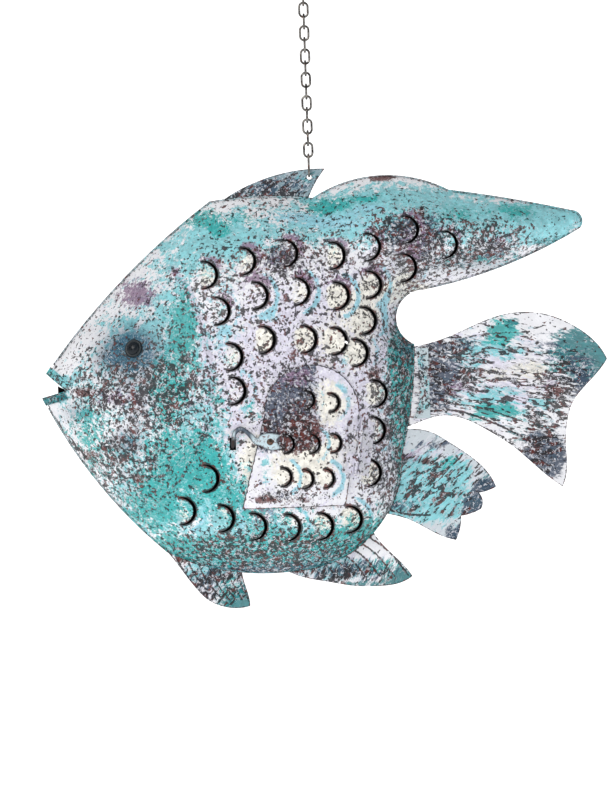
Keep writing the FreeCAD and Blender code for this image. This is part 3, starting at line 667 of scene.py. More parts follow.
# Soft patches of each layer on the body: x, z, half width, half height, strength
ZONES = {
    "lavender": [(0, -210, 320, 220, 0.60)],
    "cream": [(30, -180, 60, 46, 0.55), (-10, -330, 60, 40, 0.5), (-70, -300, 22, 36, 0.7),
              (60, -130, 40, 24, 0.5), (-250, -270, 30, 60, 0.3), (105, -122, 26, 14, 0.7)],
    "aqua": [(-215, -250, 110, 110, 0.3), (180, -66, 120, 40, 0.42), (-50, -24, 70, 12, 0.25),
             (70, -12, 70, 10, 0.25), (120, -28, 60, 14, 0.35), (260, -60, 40, 24, 0.5),
             (-60, -395, 150, 40, 0.4), (-120, -60, 120, 40, 0.16), (60, -50, 160, 30, 0.18),
             (-150, -130, 40, 55, 0.42), (-100, -70, 60, 30, 0.55), (-130, -260, 40, 90, 0.42),
             (-90, -150, 18, 60, 0.3), (90, -240, 26, 90, 0.6), (20, -60, 90, 20, 0.35),
             (120, -45, 60, 22, 0.5), (230, -50, 50, 14, 0.5), (-100, -330, 60, 50, 0.42),
             (-30, -400, 100, 26, 0.6), (-190, -330, 40, 50, 0.4), (-200, -160, 40, 40, 0.3),
             (-250, -220, 30, 30, 0.35), (50, -30, 60, 18, 0.4)],
    "brush": [(30, -52, 50, 12, 0.6), (-20, -42, 40, 10, 0.5), (64, -36, 30, 8, 0.5),
              (-98, -165, 8, 26, 0.55), (-48, -148, 24, 8, 0.5), (30, -205, 10, 30, 0.4),
              (76, -150, 8, 30, 0.5), (100, -228, 14, 40, 0.4)],
    "turquoise": [(-240, -290, 40, 50, 0.42), (-190, -350, 50, 40, 0.42), (-150, -215, 30, 50, 0.28),
                  (92, -220, 22, 50, 0.45), (150, -46, 40, 14, 0.45), (-245, -245, 30, 30, 0.35),
                  (-100, -320, 40, 30, 0.35), (16, -34, 26, 10, 0.85), (60, -26, 30, 7, 0.6),
                  (-118, -40, 20, 14, 0.75), (-98, -55, 14, 12, 0.7), (-70, -42, 16, 10, 0.5),
                  (-138, -156, 17, 42, 0.85), (-120, -290, 22, 44, 0.55), (-105, -230, 12, 20, 0.45),
                  (-175, -330, 22, 40, 0.42), (-150, -395, 30, 18, 0.6), (-40, -405, 120, 18, 0.65),
                  (55, -380, 40, 26, 0.6), (-40, -360, 60, 20, 0.3), (98, -200, 12, 60, 0.55),
                  (92, -290, 14, 60, 0.6), (222, -45, 22, 12, 0.7), (180, -92, 60, 9, 0.6),
                  (-70, -245, 14, 18, 0.5), (-290, -215, 10, 8, 0.6), (-160, -215, 26, 30, 0.3),
                  (90, -190, 16, 20, 0.5), (-20, -385, 110, 10, 0.5), (96, -250, 14, 90, 0.5),
                  (-165, -250, 16, 60, 0.35), (-80, -350, 40, 30, 0.3), (-80, -110, 14, 14, 0.25),
                  (60, -300, 10, 60, 0.3), (-150, -300, 30, 40, 0.4)],
    "teal": [(-196, -190, 15, 24, 0.62), (-198, -178, 17, 13, 0.6), (-178, -300, 12, 12, 0.6),
             (-140, -155, 8, 30, 0.4), (-225, -280, 14, 18, 0.4), (98, -184, 12, 16, 0.75),
             (60, -392, 40, 14, 0.55), (250, -78, 30, 7, 0.6), (-50, -415, 110, 9, 0.6),
             (96, -270, 8, 60, 0.6), (-165, -400, 26, 12, 0.5), (150, -100, 50, 7, 0.5)],
    "slate": [(-20, -404, 110, 12, 0.45), (-34, -92, 30, 22, 0.35), (-205, -216, 50, 18, 0.14),
              (120, -62, 34, 26, 0.5), (170, -90, 60, 10, 0.4), (-215, -330, 50, 30, 0.3),
              (-20, -230, 26, 24, 0.6), (95, -70, 34, 28, 0.5), (200, -78, 24, 14, 0.5),
              (-30, -82, 26, 18, 0.4), (70, -320, 24, 40, 0.35), (-140, -280, 20, 30, 0.3),
              (-60, -420, 130, 6, 0.5), (-200, -235, 50, 24, 0.15), (110, -118, 20, 10, 0.4)],
    "mauve": [(-70, -100, 30, 22, 0.4), (60, -85, 20, 20, 0.3), (-187, -119, 26, 20, 0.75),
              (-145, -98, 12, 12, 0.5), (-20, -85, 34, 20, 0.4), (-225, -225, 36, 14, 0.45),
              (110, -70, 26, 20, 0.6), (-130, -240, 22, 40, 0.35), (-60, -360, 26, 16, 0.45),
              (5, -120, 20, 20, 0.3), (-190, -240, 40, 20, 0.35), (-180, -300, 30, 30, 0.3),
              (78, -240, 16, 60, 0.35), (200, -75, 40, 12, 0.45)],
    "rust": [(-247, -222, 18, 7, 0.8), (-244, -290, 14, 8, 0.65), (-195, -315, 7, 7, 0.7),
             (78, -4, 20, 4, 0.9), (118, -42, 8, 10, 0.6), (-18, -262, 22, 16, 0.5),
             (-30, -345, 30, 6, 0.5), (62, -214, 10, 12, 0.7), (-200, -250, 40, 12, 0.3)],
    "speck": [(0, -200, 330, 230, 0.58), (-20, -150, 90, 70, 0.16), (-60, -400, 130, 26, 0.35),
              (100, -250, 20, 100, 0.2), (-55, -330, 60, 40, 0.15), (-60, -30, 90, 14, 0.3),
              (-190, -130, 60, 50, 0.1), (120, -100, 60, 30, 0.3), (190, -70, 80, 30, 0.3),
              (-215, -260, 60, 70, 0.25), (-60, -395, 130, 30, 0.3), (92, -330, 40, 60, 0.3),
              (-200, -222, 70, 24, 0.50), (-245, -195, 40, 40, 0.2), (-220, -300, 30, 26, 0.4),
              (-150, -230, 50, 60, 0.35), (95, -65, 50, 34, 0.6), (-25, -85, 60, 28, 0.4),
              (-110, -110, 30, 40, 0.3), (190, -75, 60, 20, 0.4), (70, -300, 34, 70, 0.4),
              (-20, -240, 40, 40, 0.5), (90, -240, 20, 90, 0.35), (-200, -330, 50, 50, 0.35),
              (-60, -400, 120, 24, 0.35)],
    "haze": [(-196, -184, 30, 28, 1.3), (-192, -178, 16, 16, 0.4), (-203, -276, 16, 14, 0.45),
             (-222, -186, 14, 10, 0.3), (-259, -243, 16, 11, 0.45), (-165, -165, 40, 40, 0.12),
             (-40, -418, 130, 10, 0.45), (100, -190, 14, 20, 0.4), (-201, -278, 12, 12, 0.5),
             (-190, -245, 14, 22, 0.25), (180, -100, 70, 8, 0.35), (92, -150, 12, 40, 0.3)],
    "crack": [(-170, -175, 36, 30, 0.45), (-160, -270, 30, 30, 0.4), (110, -120, 50, 26, 0.6),
              (95, -190, 26, 40, 0.6), (180, -95, 60, 14, 0.5)],
}


def paint(piece, extra, zones=ZONES, shade_inside=False):
    """Writes the layers' strengths on every vertex of a piece, and can put painted shade on its inner face.
    """
    x, z = plane_points(piece)
    for name in [layer for layer, *_ in WASHES] + ["haze", "speck", "line", "crack"]:
        total = np.zeros(len(x))
        for cx, cz, rx, rz, strength in zones.get(name, ()):
            total += strength * np.exp(-((x - cx) / rx) ** 2 - ((z - cz) / rz) ** 2)
        if name in extra:
            total += extra[name](x, z)
        attribute(piece, name, np.clip(total, 0, 1))
    # the inner face's share of painted shade, for the shells and the door
    back = np.zeros(len(x), dtype=np.float32)
    if shade_inside:
        piece.data.attributes["back"].data.foreach_get("value", back)
    attribute(piece, "inside", back)


UPPER_ROWS_Z = -150


def strongest(scales, strength, shares):
    """A layer that takes, at every point, the most that any scale gives there; each scale has its share."""
    def layer(x, z):
        total = np.zeros(len(x))
        for (cx, cz), share in zip(scales, shares):
            total = np.maximum(total, share * strength(x - cx, z - cz))
        return total
    return layer


def slit_antiquing_and_shade(scales, radius):
    """The dark line round each slit: antiquing paint, and painted shade in the slit and on the tongue's edge.
    """
    def strength(dx, dz):
        reach = np.hypot(dx, dz)
        return rise(dx / np.maximum(reach, 1e-6), -0.5, -0.1) * bell(reach - radius + 1.0, 3.2)
    return strongest(scales, strength, [1.0] * len(scales))


def scale_aqua(scales, radius):
    """A brushed light-blue arc outside each scale, stronger at some than at others."""
    def strength(dx, dz):
        reach = np.hypot(dx, dz)
        return rise(dx / np.maximum(reach, 1e-6), 0.0, 0.5) * bell(reach - radius - 9, 3.6)
    return strongest(scales, strength, [0.45 + 0.35 * math.sin(3 * i) for i in range(len(scales))])


def scale_cream(scales, radius):
    """Cream paint on the tongues, stronger at some than at others."""
    def strength(dx, dz):
        return rise(dx / radius, -1.1, 0.1) * (1 - rise(np.hypot(dx, dz), 0.7 * radius, radius))
    return strongest(scales, strength, [0.5 + 0.2 * math.sin(x * 0.7 + z * 0.31) for x, z in scales])


def scale_painted_shade(scales, radius):
    """Mauve painted shade above and to the right of the upper rows' scales."""
    def strength(dx, dz):
        away = np.hypot(dx - 0.35 * radius, dz - 0.5 * radius)
        return (np.hypot(dx, dz) > radius) * bell(away - 0.6 * radius, 6.0)
    upper = [scale for scale in scales if scale[1] >= UPPER_ROWS_Z]
    return strongest(upper, strength, [0.6] * len(upper))


def gill_pale(x, z):
    gap, _ = distance_to_line(x, z, GILL)
    return 0.4 * bell(gap, 3.5)


def gill_line(x, z):
    gap, _ = distance_to_line(x, z, GILL)
    return 0.56 * bell(gap - 1.0, 2.4)


CHIN_SEAM = smooth_line([(-279, -252), (-263, -274), (-248, -291)], 16)


def chin_line(x, z):
    gap, _ = distance_to_line(x, z, CHIN_SEAM)
    return 0.9 * bell(gap, 2.2)


# A dark band along the shell's rim: grime and painted shade where the shell meets the seam.
def rim_grime_and_shade(x, z):
    return 0.62 * (1 - rise(fish_depth(x, z), 0.0, 4.0))


# ---------------------------------------------------------------- shells and door

OUTLINE_SPACING = 3.0
SHELL_SPACING = 2.8
DOOR_SPACING = 2.4

# The door: its feet, the points where its arch springs, the arch's crown, and how far it laps over the hole
DOOR_FEET = ((-83, -352), (27, -352))
DOOR_SPRINGS = ((-56, -252), (45, -252))
DOOR_CROWN = (-3, -201)
DOOR_LAP = 4.0
RIVET_AT = (-51, -281)


def circle_through(first, second, third):
    """Centre and radius of the circle through three points."""
    (ax, az), (bx, bz), (cx, cz) = first, second, third
    square_a, square_b, square_c = (x ** 2 + z ** 2 for x, z in (first, second, third))
    d = 2 * (ax * (bz - cz) + bx * (cz - az) + cx * (az - bz))
    ux = (square_a * (bz - cz) + square_b * (cz - az) + square_c * (az - bz)) / d
    uz = (square_a * (cx - bx) + square_b * (ax - cx) + square_c * (bx - ax)) / d
    return ux, uz, math.hypot(ax - ux, az - uz)


def door_loop(inset):
    """The arched door's outline, drawn in by inset all round."""
    shifts = (inset, -inset)
    left, right = ((x + shift, z + inset) for (x, z), shift in zip(DOOR_FEET, shifts))
    spring_left, spring_right = ((x + shift, z) for (x, z), shift in zip(DOOR_SPRINGS, shifts))
    ux, uz, radius = circle_through(spring_left, (DOOR_CROWN[0], DOOR_CROWN[1] - inset), spring_right)
    a0 = math.atan2(spring_right[1] - uz, spring_right[0] - ux)
    a1 = math.atan2(spring_left[1] - uz, spring_left[0] - ux) % (2 * math.pi)
    arch = [(ux + radius * math.cos(a), uz + radius * math.sin(a)) for a in np.linspace(a0, a1, 48)]
    return densify(arch + [left, right], OUTLINE_SPACING)


def densify(points, spacing):
    """The closed run of points with its long sides divided."""
    result = []
    for a, b in zip(points, points[1:] + points[:1]):
        steps = max(1, int(math.dist(a, b) / spacing))
        result += [(a[0] + (b[0] - a[0]) * k / steps, a[1] + (b[1] - a[1]) * k / steps) for k in range(steps)]
    return np.array(result)


def circle_loop(x, z, radius, count):
    angles = np.linspace(0, 2 * math.pi, count, endpoint=False)
    return np.column_stack([x + radius * np.cos(angles), z + radius * np.sin(angles)])


# The mouth's wedge: its corner, and a point far out along each edge
MOUTH_CORNER = (-267, -220)
MOUTH_UPPER = (-330, -165)
MOUTH_LOWER = (-330, -236)
# The latch's slot: middle x and z, width, height
SLOT = (-90.5, -282, 6.5, 13.5)
EYE = (-192, -178)
EYE_HOLE_RADIUS = 2.8


def cut_mouth(loop):
    """The outline with the mouth's wedge taken out."""
    corner, upper, lower = (np.array(p, dtype=float) for p in (MOUTH_CORNER, MOUTH_UPPER, MOUTH_LOWER))

    def side(points, end):
        direction = end - corner
        return direction[0] * (points[:, 1] - corner[1]) - direction[1] * (points[:, 0] - corner[0])

    in_wedge = (side(loop, upper) > 0) & (side(loop, lower) < 0) & (loop[:, 0] < corner[0])
    start = int(np.nonzero(in_wedge & ~np.roll(in_wedge, 1))[0][0])
    rolled = np.roll(loop, -start, axis=0)
    kept = rolled[~np.roll(in_wedge, -start)]
    first, last = kept[0], kept[-1]

    def onto(point, end):
        direction = (end - corner) / np.linalg.norm(end - corner)
        return corner + direction * ((point - corner) @ direction)

    starts_low = abs(side(first[None], lower)[0]) < abs(side(first[None], upper)[0])
    near_first, near_last = (lower, upper) if starts_low else (upper, lower)
    enter, leave = onto(last, near_last), onto(first, near_first)
    lead_in = [enter + (corner - enter) * t for t in np.linspace(0, 1, 9)]
    lead_out = [corner + (leave - corner) * t for t in np.linspace(0.125, 1, 8)]
    return np.concatenate([kept, lead_in, lead_out])


def make_shell(name, side, scales, extra_holes, material):
    """One pressed shell with its mouth, eye hole and slits, painted on the outside, with painted shade on its
    inner face.
    """
    outline = cut_mouth(fish_outline(OUTLINE_SPACING))
    slits = [slit_loop(centre, SCALE_RADIUS, SCALE_GAP) for centre in scales]
    eye = circle_loop(*EYE, EYE_HOLE_RADIUS, 16)
    loops = [outline, eye] + slits + extra_holes

    def outer(x, z):
        return np.maximum(bulge(x, z) + SKIN + shell_relief(x, z, scales), HALF_SEAM + 0.5)

    def inner(x, z):
        return np.maximum(outer(x, z) - SHELL_SHEET, HALF_SEAM)

    piece = sheet_piece(name, loops, SHELL_SPACING, outer, inner, material, (side,))
    # the drawn lines include painted shade round the slits
    drawn = (slit_antiquing_and_shade(scales, SCALE_RADIUS), gill_line, rim_grime_and_shade, chin_line)
    paint(piece, {
        "line": lambda x, z: np.maximum.reduce([line(x, z) for line in drawn]),
        "brush": scale_aqua(scales, SCALE_RADIUS),
        "cream": scale_cream(scales, SCALE_RADIUS),
        # mauve painted shade beside the upper scales
        "mauve": scale_painted_shade(scales, SCALE_RADIUS),
        "lavender": gill_pale,
    }, shade_inside=True)
    stand_in(piece, "fish", "left_shell" if side == LEFT else "right_shell")


def rectangle_loop(x, z, width, height):
    w, h = width / 2, height / 2
    return densify([(x - w, z - h), (x + w, z - h), (x + w, z + h), (x - w, z + h)], 2.5)


SHELL_PAINT = aged_paint("shell_paint")
make_shell("pressed_left_shell", LEFT, SCALES, [door_loop(DOOR_LAP), rectangle_loop(*SLOT)], SHELL_PAINT)
shifted_scales = tuple((x + RIGHT_SHIFT[0], z + RIGHT_SHIFT[1]) for x, z in SCALES)
make_shell("pressed_right_shell", RIGHT, shifted_scales + RIGHT_ONLY_SCALES, [], SHELL_PAINT)


def door_relief(x, z):
    return 0.5 * hammered(x, z) + tongue_lift(x, z, DOOR_SCALES, DOOR_SCALE_RADIUS, DOOR_SCALE_GAP, 1.6)


DOOR_ZONES = {
    **ZONES,
    "cream": [(14, -240, 26, 30, 0.75), (-15, -305, 46, 30, 0.8)],
    "slate": [(-45, -340, 30, 8, 0.5), (34, -300, 8, 50, 0.5)],
    "rust": [(-22, -246, 22, 24, 0.45), (-8, -272, 16, 14, 0.6), (-30, -286, 18, 14, 0.5),
             (-58, -342, 16, 6, 0.8), (-20, -344, 14, 5, 0.6), (-56, -264, 6, 7, 0.6)],
    "speck": [(-34, -338, 46, 12, 0.7), (0, -280, 70, 70, 0.5), (36, -300, 9, 60, 0.4)],
    "mauve": [(-24, -214, 26, 14, 0.5), (-10, -280, 20, 10, 0.3)],
    "aqua": [(-58, -305, 7, 24, 0.6)],
    "turquoise": [],
}


def make_door():
    """The arched door: a sheet over the opening with its own smaller scales and a rivet hole."""
    slits = [slit_loop(centre, DOOR_SCALE_RADIUS, DOOR_SCALE_GAP) for centre in DOOR_SCALES]
    edge = door_loop(0.0)
    loops = [edge, circle_loop(*RIVET_AT, 2.0, 12)] + slits

    def inner(x, z):
        return bulge(x, z) + SKIN + DOOR_GAP + np.maximum(door_relief(x, z), 0)

    def outer(x, z):
        return inner(x, z) + DOOR_SHEET

    piece = sheet_piece("door_sheet", loops, DOOR_SPACING, outer, inner, SHELL_PAINT)
    lines = slit_antiquing_and_shade(DOOR_SCALES, DOOR_SCALE_RADIUS)

    # painted shade along the door's proud edge, drawn as a dark rim all round it
    def door_edge_shade(x, z):
        gap, _ = distance_to_line(x, z, closed(edge))
        return 0.95 * (1 - rise(gap, 0.4, 2.2))

    def patch(x, z):
        """The dark spattered patch that fills the door's upper left."""
        return (1 - rise(x, -14, 16)) * rise(z, -300, -284)

    paint(piece, {
        "line": lambda x, z: np.maximum(lines(x, z), door_edge_shade(x, z)),
        "brush": scale_aqua(DOOR_SCALES, DOOR_SCALE_RADIUS),
        "cream": scale_cream(DOOR_SCALES, DOOR_SCALE_RADIUS),
        "slate": lambda x, z: 0.8 * patch(x, z),
        "speck": lambda x, z: 0.55 * patch(x, z),
        "mauve": lambda x, z: 0.12 * patch(x, z) * rise(z, -262, -230),
        "rust": lambda x, z: 0.26 * patch(x, z) * (1 - rise(z, -272, -240)),
    }, DOOR_ZONES, shade_inside=True)
    stand_in(piece, "door", "door_panel")


make_door()


# ---------------------------------------------------------------- flat plates: fins, seam band, strips

def plate_loops(node, side=LEFT):
    """The outline and holes of a flat CAD plate, from the face on one side of the seam plane."""
    mesh = frame["nodes"][node].data
    keys = {}
    edges = {}
    for polygon in mesh.polygons:
        if polygon.normal.y * side < 0.9:
            continue
        corners = []
        for i in polygon.vertices:
            point = mesh.vertices[i].co / MM
            key = (round(point.x, 2), round(point.z - HOLE_Z, 2))
            corners.append(keys.setdefault(key, len(keys)))
        for a, b in zip(corners, corners[1:] + corners[:1]):
            if (b, a) in edges:
                del edges[(b, a)]
            else:
                edges[(a, b)] = True
    points = list(keys)
    following = {a: b for a, b in edges}
    loops = []
    while following:
        start, at = following.popitem()
        loop = [points[start]]
        while at != start:
            loop.append(points[at])
            at = following.pop(at)
        loops.append(loop)
    return loops


def engraved(lines, width):
    """How strongly points lie on any of the lines, from 0 to 1."""
    def strength(x, z):
        total = np.zeros(len(x))
        for line, weight in lines:
            gap, _ = distance_to_line(x, z, line)
            total = np.maximum(total, weight * bell(gap, width))
        return total
    return strength


def make_plate(name, node, material, zones, lines=(), spacing=1.5, waves=0.5):
    """A hand-beaten plate on the seam plane with engraved lines on both faces."""
    loops = [densify(loop, spacing) for loop in plate_loops(node)]
    groove = engraved(lines, 1.5)
    edges = [closed(loop) for loop in loops]

    def face(x, z):
        return HALF_SEAM + waves * np.maximum(hammered(x, z), -1) * rim_share(x, z) - 0.45 * groove(x, z)

    def rim_share(x, z):
        return rise(rim_gap(x, z), 0, 8)

    def rim_gap(x, z):
        return np.minimum.reduce([distance_to_line(x, z, loop)[0] for loop in edges])

    piece = sheet_piece(name, loops, spacing, face, lambda x, z: -face(x, z), material)
    paint(piece, {
        "line": lambda x, z: np.maximum(groove(x, z), 0.7 * (1 - rise(rim_gap(x, z), 0.3, 2.4))),
    }, zones)
    stand_in(piece, "fish", node)


def fan(starts, ends, weight, bend=0.0):
    """Ray lines from points on one edge to points on another, each a little bowed."""
    lines = []
    for (ax, az), (bx, bz) in zip(starts, ends):
        mid = ((ax + bx) / 2 - bend * (bz - az), (az + bz) / 2 + bend * (bx - ax))
        lines.append((smooth_line([(ax, az), mid, (bx, bz)], 12), weight))
    return lines


def spread(a, b, count):
    return [(a[0] + (b[0] - a[0]) * t, a[1] + (b[1] - a[1]) * t) for t in np.linspace(0, 1, count)]


def brushed_along(angle_degrees, stretch):
    """Coordinates stretched along one direction of the fish's plane, for brushed paint."""
    def grain(n):
        turned = n.node("ShaderNodeMapping")
        n.put(turned.inputs["Vector"], n.place)
        turned.inputs["Rotation"].default_value = (0, math.radians(angle_degrees), 0)
        squeezed = n.node("ShaderNodeMapping")
        n.put(squeezed.inputs["Vector"], turned.outputs["Vector"])
        squeezed.inputs["Scale"].default_value = (stretch, 1, 1)
        return squeezed.outputs["Vector"]
    return grain


TAIL_ZONES = {
    "lavender": [(190, -220, 120, 80, 0.6)],
    "cream": [(190, -215, 50, 20, 0.5), (240, -215, 24, 24, 0.4)],
    "aqua": [(182, -250, 60, 24, 0.55), (200, -190, 50, 24, 0.5), (240, -270, 20, 40, 0.35),
             (150, -200, 30, 30, 0.4)],
    "turquoise": [(200, -172, 20, 18, 0.95), (188, -258, 34, 12, 0.85), (262, -200, 20, 30, 0.6)],
    "teal": [(215, -282, 24, 16, 0.5), (270, -192, 30, 24, 0.55), (288, -205, 20, 28, 0.95),
             (212, -164, 16, 10, 0.6), (250, -300, 14, 30, 0.5), (300, -214, 20, 20, 0.7)],
    "slate": [(236, -296, 26, 30, 0.5), (130, -220, 28, 44, 0.85), (245, -186, 34, 22, 0.4),
              (245, -312, 20, 24, 0.9), (160, -184, 30, 8, 0.5), (284, -228, 24, 34, 0.62),
              (205, -215, 60, 12, 0.35)],
    "mauve": [(150, -230, 26, 14, 0.5), (250, -230, 16, 12, 0.5)],
    "rust": [(255, -238, 11, 8, 0.85), (120, -206, 10, 14, 0.45), (232, -300, 14, 8, 0.5)],
    "speck": [(190, -220, 130, 90, 0.7), (140, -210, 30, 30, 0.7), (255, -240, 24, 24, 0.8),
              (240, -300, 24, 34, 0.8)],
}
TAIL_LINES = [
    (smooth_line([(108, -256), (147, -255), (185, -268), (218, -285)], 24), 1.0),
    (smooth_line([(139, -246), (178, -254), (217, -268)], 20), 0.8),
    (smooth_line([(112, -191), (144, -182), (177, -175), (230, -173)], 24), 0.7),
    (smooth_line([(157, -191), (176, -195)], 8), 0.7),
    (smooth_line([(125, -208), (170, -204), (225, -197), (290, -200)], 24), 0.45),
    (smooth_line([(130, -232), (180, -230), (240, -236), (272, -246)], 24), 0.45),
    (smooth_line([(150, -263), (190, -280), (235, -312)], 20), 0.6),
]
TAIL_PAINT = aged_paint("tail_paint", PALE, brushed_along(-10, 0.35))
make_plate("tail_plate", "tail_fin", TAIL_PAINT, TAIL_ZONES, TAIL_LINES)

ANAL_ZONES = {
    "lavender": [(110, -330, 90, 60, 0.6)],
    "aqua": [(110, -325, 60, 34, 0.8), (110, -355, 70, 26, 0.6)],
    "turquoise": [(140, -312, 24, 14, 0.5), (70, -350, 24, 10, 0.6)],
    "teal": [(176, -334, 12, 14, 0.7), (145, -385, 12, 14, 0.6)],
    "slate": [(180, -338, 18, 14, 0.8), (164, -358, 16, 14, 0.8), (143, -388, 18, 14, 0.8),
              (80, -355, 30, 10, 0.6), (120, -290, 40, 12, 0.45)],
    "mauve": [(100, -300, 26, 12, 0.5)],
    "rust": [(116, -308, 9, 6, 0.8)],
    "speck": [(115, -330, 90, 50, 0.92)],
}
ANAL_LINES = [(smooth_line([(69, -357), (92, -364), (117, -366)], 16), 1.0)]
ANAL_LINES += fan(spread((92, -285), (70, -350), 6), spread((180, -335), (140, -386), 6), 0.5, 0.04)
ANAL_PAINT = aged_paint("anal_fin_paint", rgb(206, 214, 220), brushed_along(40, 0.35))
make_plate("anal_fin_plate", "anal_fin", ANAL_PAINT, ANAL_ZONES, ANAL_LINES)

FRONT_PELVIC_ZONES = {
    "lavender": [(-120, -425, 60, 40, 0.6)],
    "aqua": [(-125, -420, 40, 20, 0.7)],
    "turquoise": [(-100, -440, 30, 18, 0.7)],
    "teal": [(-92, -452, 24, 12, 0.95), (-84, -436, 10, 20, 0.5)],
    "slate": [(-118, -430, 44, 22, 0.62)],
    "rust": [(-150, -405, 12, 6, 0.6)],
    "speck": [(-120, -430, 60, 40, 0.85)],
}
FRONT_RAYS = fan(spread((-158, -398), (-92, -408), 7), spread((-122, -448), (-80, -450), 7), 0.85, -0.06)
FRONT_PAINT = aged_paint("front_pelvic_paint", PALE, brushed_along(50, 0.35))
make_plate("front_pelvic_plate", "front_pelvic_fin", FRONT_PAINT, FRONT_PELVIC_ZONES, FRONT_RAYS)

REAR_PELVIC_ZONES = {
    "lavender": [(20, -420, 80, 30, 0.6)],
    "aqua": [(20, -420, 60, 14, 0.7)],
    "turquoise": [(60, -420, 30, 14, 0.7)],
    "teal": [(84, -430, 20, 10, 0.95), (30, -437, 40, 5, 0.7)],
    "slate": [(30, -422, 70, 14, 0.62)],
    "rust": [(-26, -420, 10, 5, 0.6)],
    "speck": [(20, -425, 80, 26, 0.85)],
}
REAR_RAYS = fan(spread((-34, -414), (50, -386), 8), spread((-14, -430), (92, -430), 8), 0.85, 0.06)
REAR_PAINT = aged_paint("rear_pelvic_paint", PALE, brushed_along(60, 0.35))
make_plate("rear_pelvic_plate", "rear_pelvic_fin", REAR_PAINT, REAR_PELVIC_ZONES, REAR_RAYS)

DORSAL_ZONES = {
    "haze": [(-10, -4, 60, 14, 0.3), (-60, -16, 40, 12, 0.2)],
    "slate": [(-40, -10, 70, 16, 0.6)],
    "teal": [(4, 0, 16, 8, 0.5)],
    "mauve": [(-70, -22, 26, 14, 0.4)],
    "aqua": [(0, -2, 14, 8, 0.5), (-50, -20, 40, 10, 0.4)],
    "rust": [(-52, -6, 12, 5, 0.4)],
    "speck": [(-40, -14, 80, 30, 0.95)],
}
DORSAL_LINES = fan(spread((-92, -32), (0, -20), 8), spread((-60, -6), (12, 6), 8), 0.6, 0.05)
DORSAL_PAINT = aged_paint("dorsal_fin_paint", rgb(150, 172, 180), brushed_along(30, 0.3))
make_plate("dorsal_fin_plate", "dorsal_fin", DORSAL_PAINT, DORSAL_ZONES, DORSAL_LINES)

BAND_ZONES = dict(ZONES)
BAND_ZONES["slate"] = [(0, -200, 340, 260, 0.35)]
BAND_ZONES["speck"] = [(0, -200, 340, 260, 0.8)]
BAND_PAINT = aged_paint("seam_band_paint", rgb(170, 186, 192))
make_plate("seam_flange", "seam_band", BAND_PAINT, BAND_ZONES, (), 2.2, 0.0)

STRIP_PAINT = aged_paint("tail_strip_paint", rgb(190, 206, 212))
STRIP_ZONES = {
    "aqua": [(112, -230, 16, 50, 0.5)],
    "slate": [(112, -205, 12, 34, 0.42)],
    "rust": [(110, -255, 8, 8, 0.5)],
    "speck": [(112, -225, 20, 50, 0.95)],
}
STRIP_THICKNESS = 1.2
STRIP_SPACING = 2.0
for side, side_name in ((LEFT, "left"), (RIGHT, "right")):
    node = side_name + "_tail_strip"
    loops = [densify(loop, STRIP_SPACING) for loop in plate_loops(node, side)]
    strip = sheet_piece(
        node + "_plate", loops, STRIP_SPACING,
        lambda x, z: HALF_SEAM + STRIP_THICKNESS + 0.3 * hammered(x, z),
        lambda x, z: np.full(len(x), HALF_SEAM + 0.05), STRIP_PAINT, (side,))
    paint(strip, {}, STRIP_ZONES)
    stand_in(strip, "fish", node)


# ---------------------------------------------------------------- lips

HALVINGS = 30
LIP_WIDTH = 9.0
LIP_SHEET = 1.5
LIP_STAND = SKIN + 0.1
LIP_ROOM = 0.4
LIP_SPACING = 0.8


def make_lip(name, node, end, tilt, zones, base):
    """A strip round the snout along one edge of the mouth, with a bead along both its edges."""
    corner = np.array(MOUTH_CORNER, dtype=float)
    along = np.array(end, dtype=float) - corner
    along /= np.linalg.norm(along)
    across = np.array([-along[1], along[0]]) * tilt
    top = LIP_STAND + LIP_SHEET

    def reach(v):
        """How far the strip runs at v across before it meets the other side."""
        low, high = 0.0, 80.0
        for _ in range(HALVINGS):
            middle = (low + high) / 2
            point = corner + along * middle + across * v
            height = bulge(point[:1], point[1:])[0] + top
            low, high = (middle, high) if height > 0 else (low, middle)
        return low

    start = LIP_ROOM if tilt > 0 else 0.0
    bottom_row = [corner + along * u for u in np.linspace(start * LIP_WIDTH, reach(0.0), 26)]
    end_row = [corner + along * reach(v) + across * v for v in np.linspace(0, LIP_WIDTH, 7)[1:]]
    top_row = [corner + along * u + across * LIP_WIDTH for u in np.linspace(reach(LIP_WIDTH), 0, 26)[1:]]
    loops = [densify([tuple(p) for p in bottom_row + end_row + top_row], LIP_SPACING)]

    def bead(x, z):
        v = (x - corner[0]) * across[0] + (z - corner[1]) * across[1]
        return bell(v - 1.2, 1.0) + 0.8 * bell(v - LIP_WIDTH + 1.2, 1.0)

    def outer(x, z):
        return np.maximum(bulge(x, z) + top + 0.7 * bead(x, z) * rise(bulge(x, z) + top, 0, 2), 0.0)

    def inner(x, z):
        return np.maximum(bulge(x, z) + LIP_STAND, 0.0)

    paint_material = aged_paint(name + "_paint", base)
    piece = sheet_piece(name, loops, LIP_SPACING, outer, inner, paint_material, (LEFT, RIGHT))
    paint(piece, {"line": lambda x, z: 0.75 * bead(x, z)}, zones)
    stand_in(piece, "fish", node)


UPPER_LIP_ZONES = {
    "aqua": [(-290, -205, 40, 20, 0.9)],
    "turquoise": [(-286, -200, 12, 9, 0.5)],
    "speck": [(-290, -205, 50, 30, 0.8)],
    "rust": [(-266, -218, 8, 6, 0.6)],
}
LOWER_LIP_ZONES = {
    "teal": [(-280, -228, 40, 20, 0.95)],
    "slate": [(-270, -228, 12, 8, 0.4)],
    "speck": [(-290, -228, 50, 30, 0.7)],
}
make_lip("upper_lip_strip", "upper_lip", MOUTH_UPPER, -1, UPPER_LIP_ZONES, rgb(150, 206, 212))
make_lip("lower_lip_strip", "lower_lip", MOUTH_LOWER, 1, LOWER_LIP_ZONES, rgb(40, 110, 118))


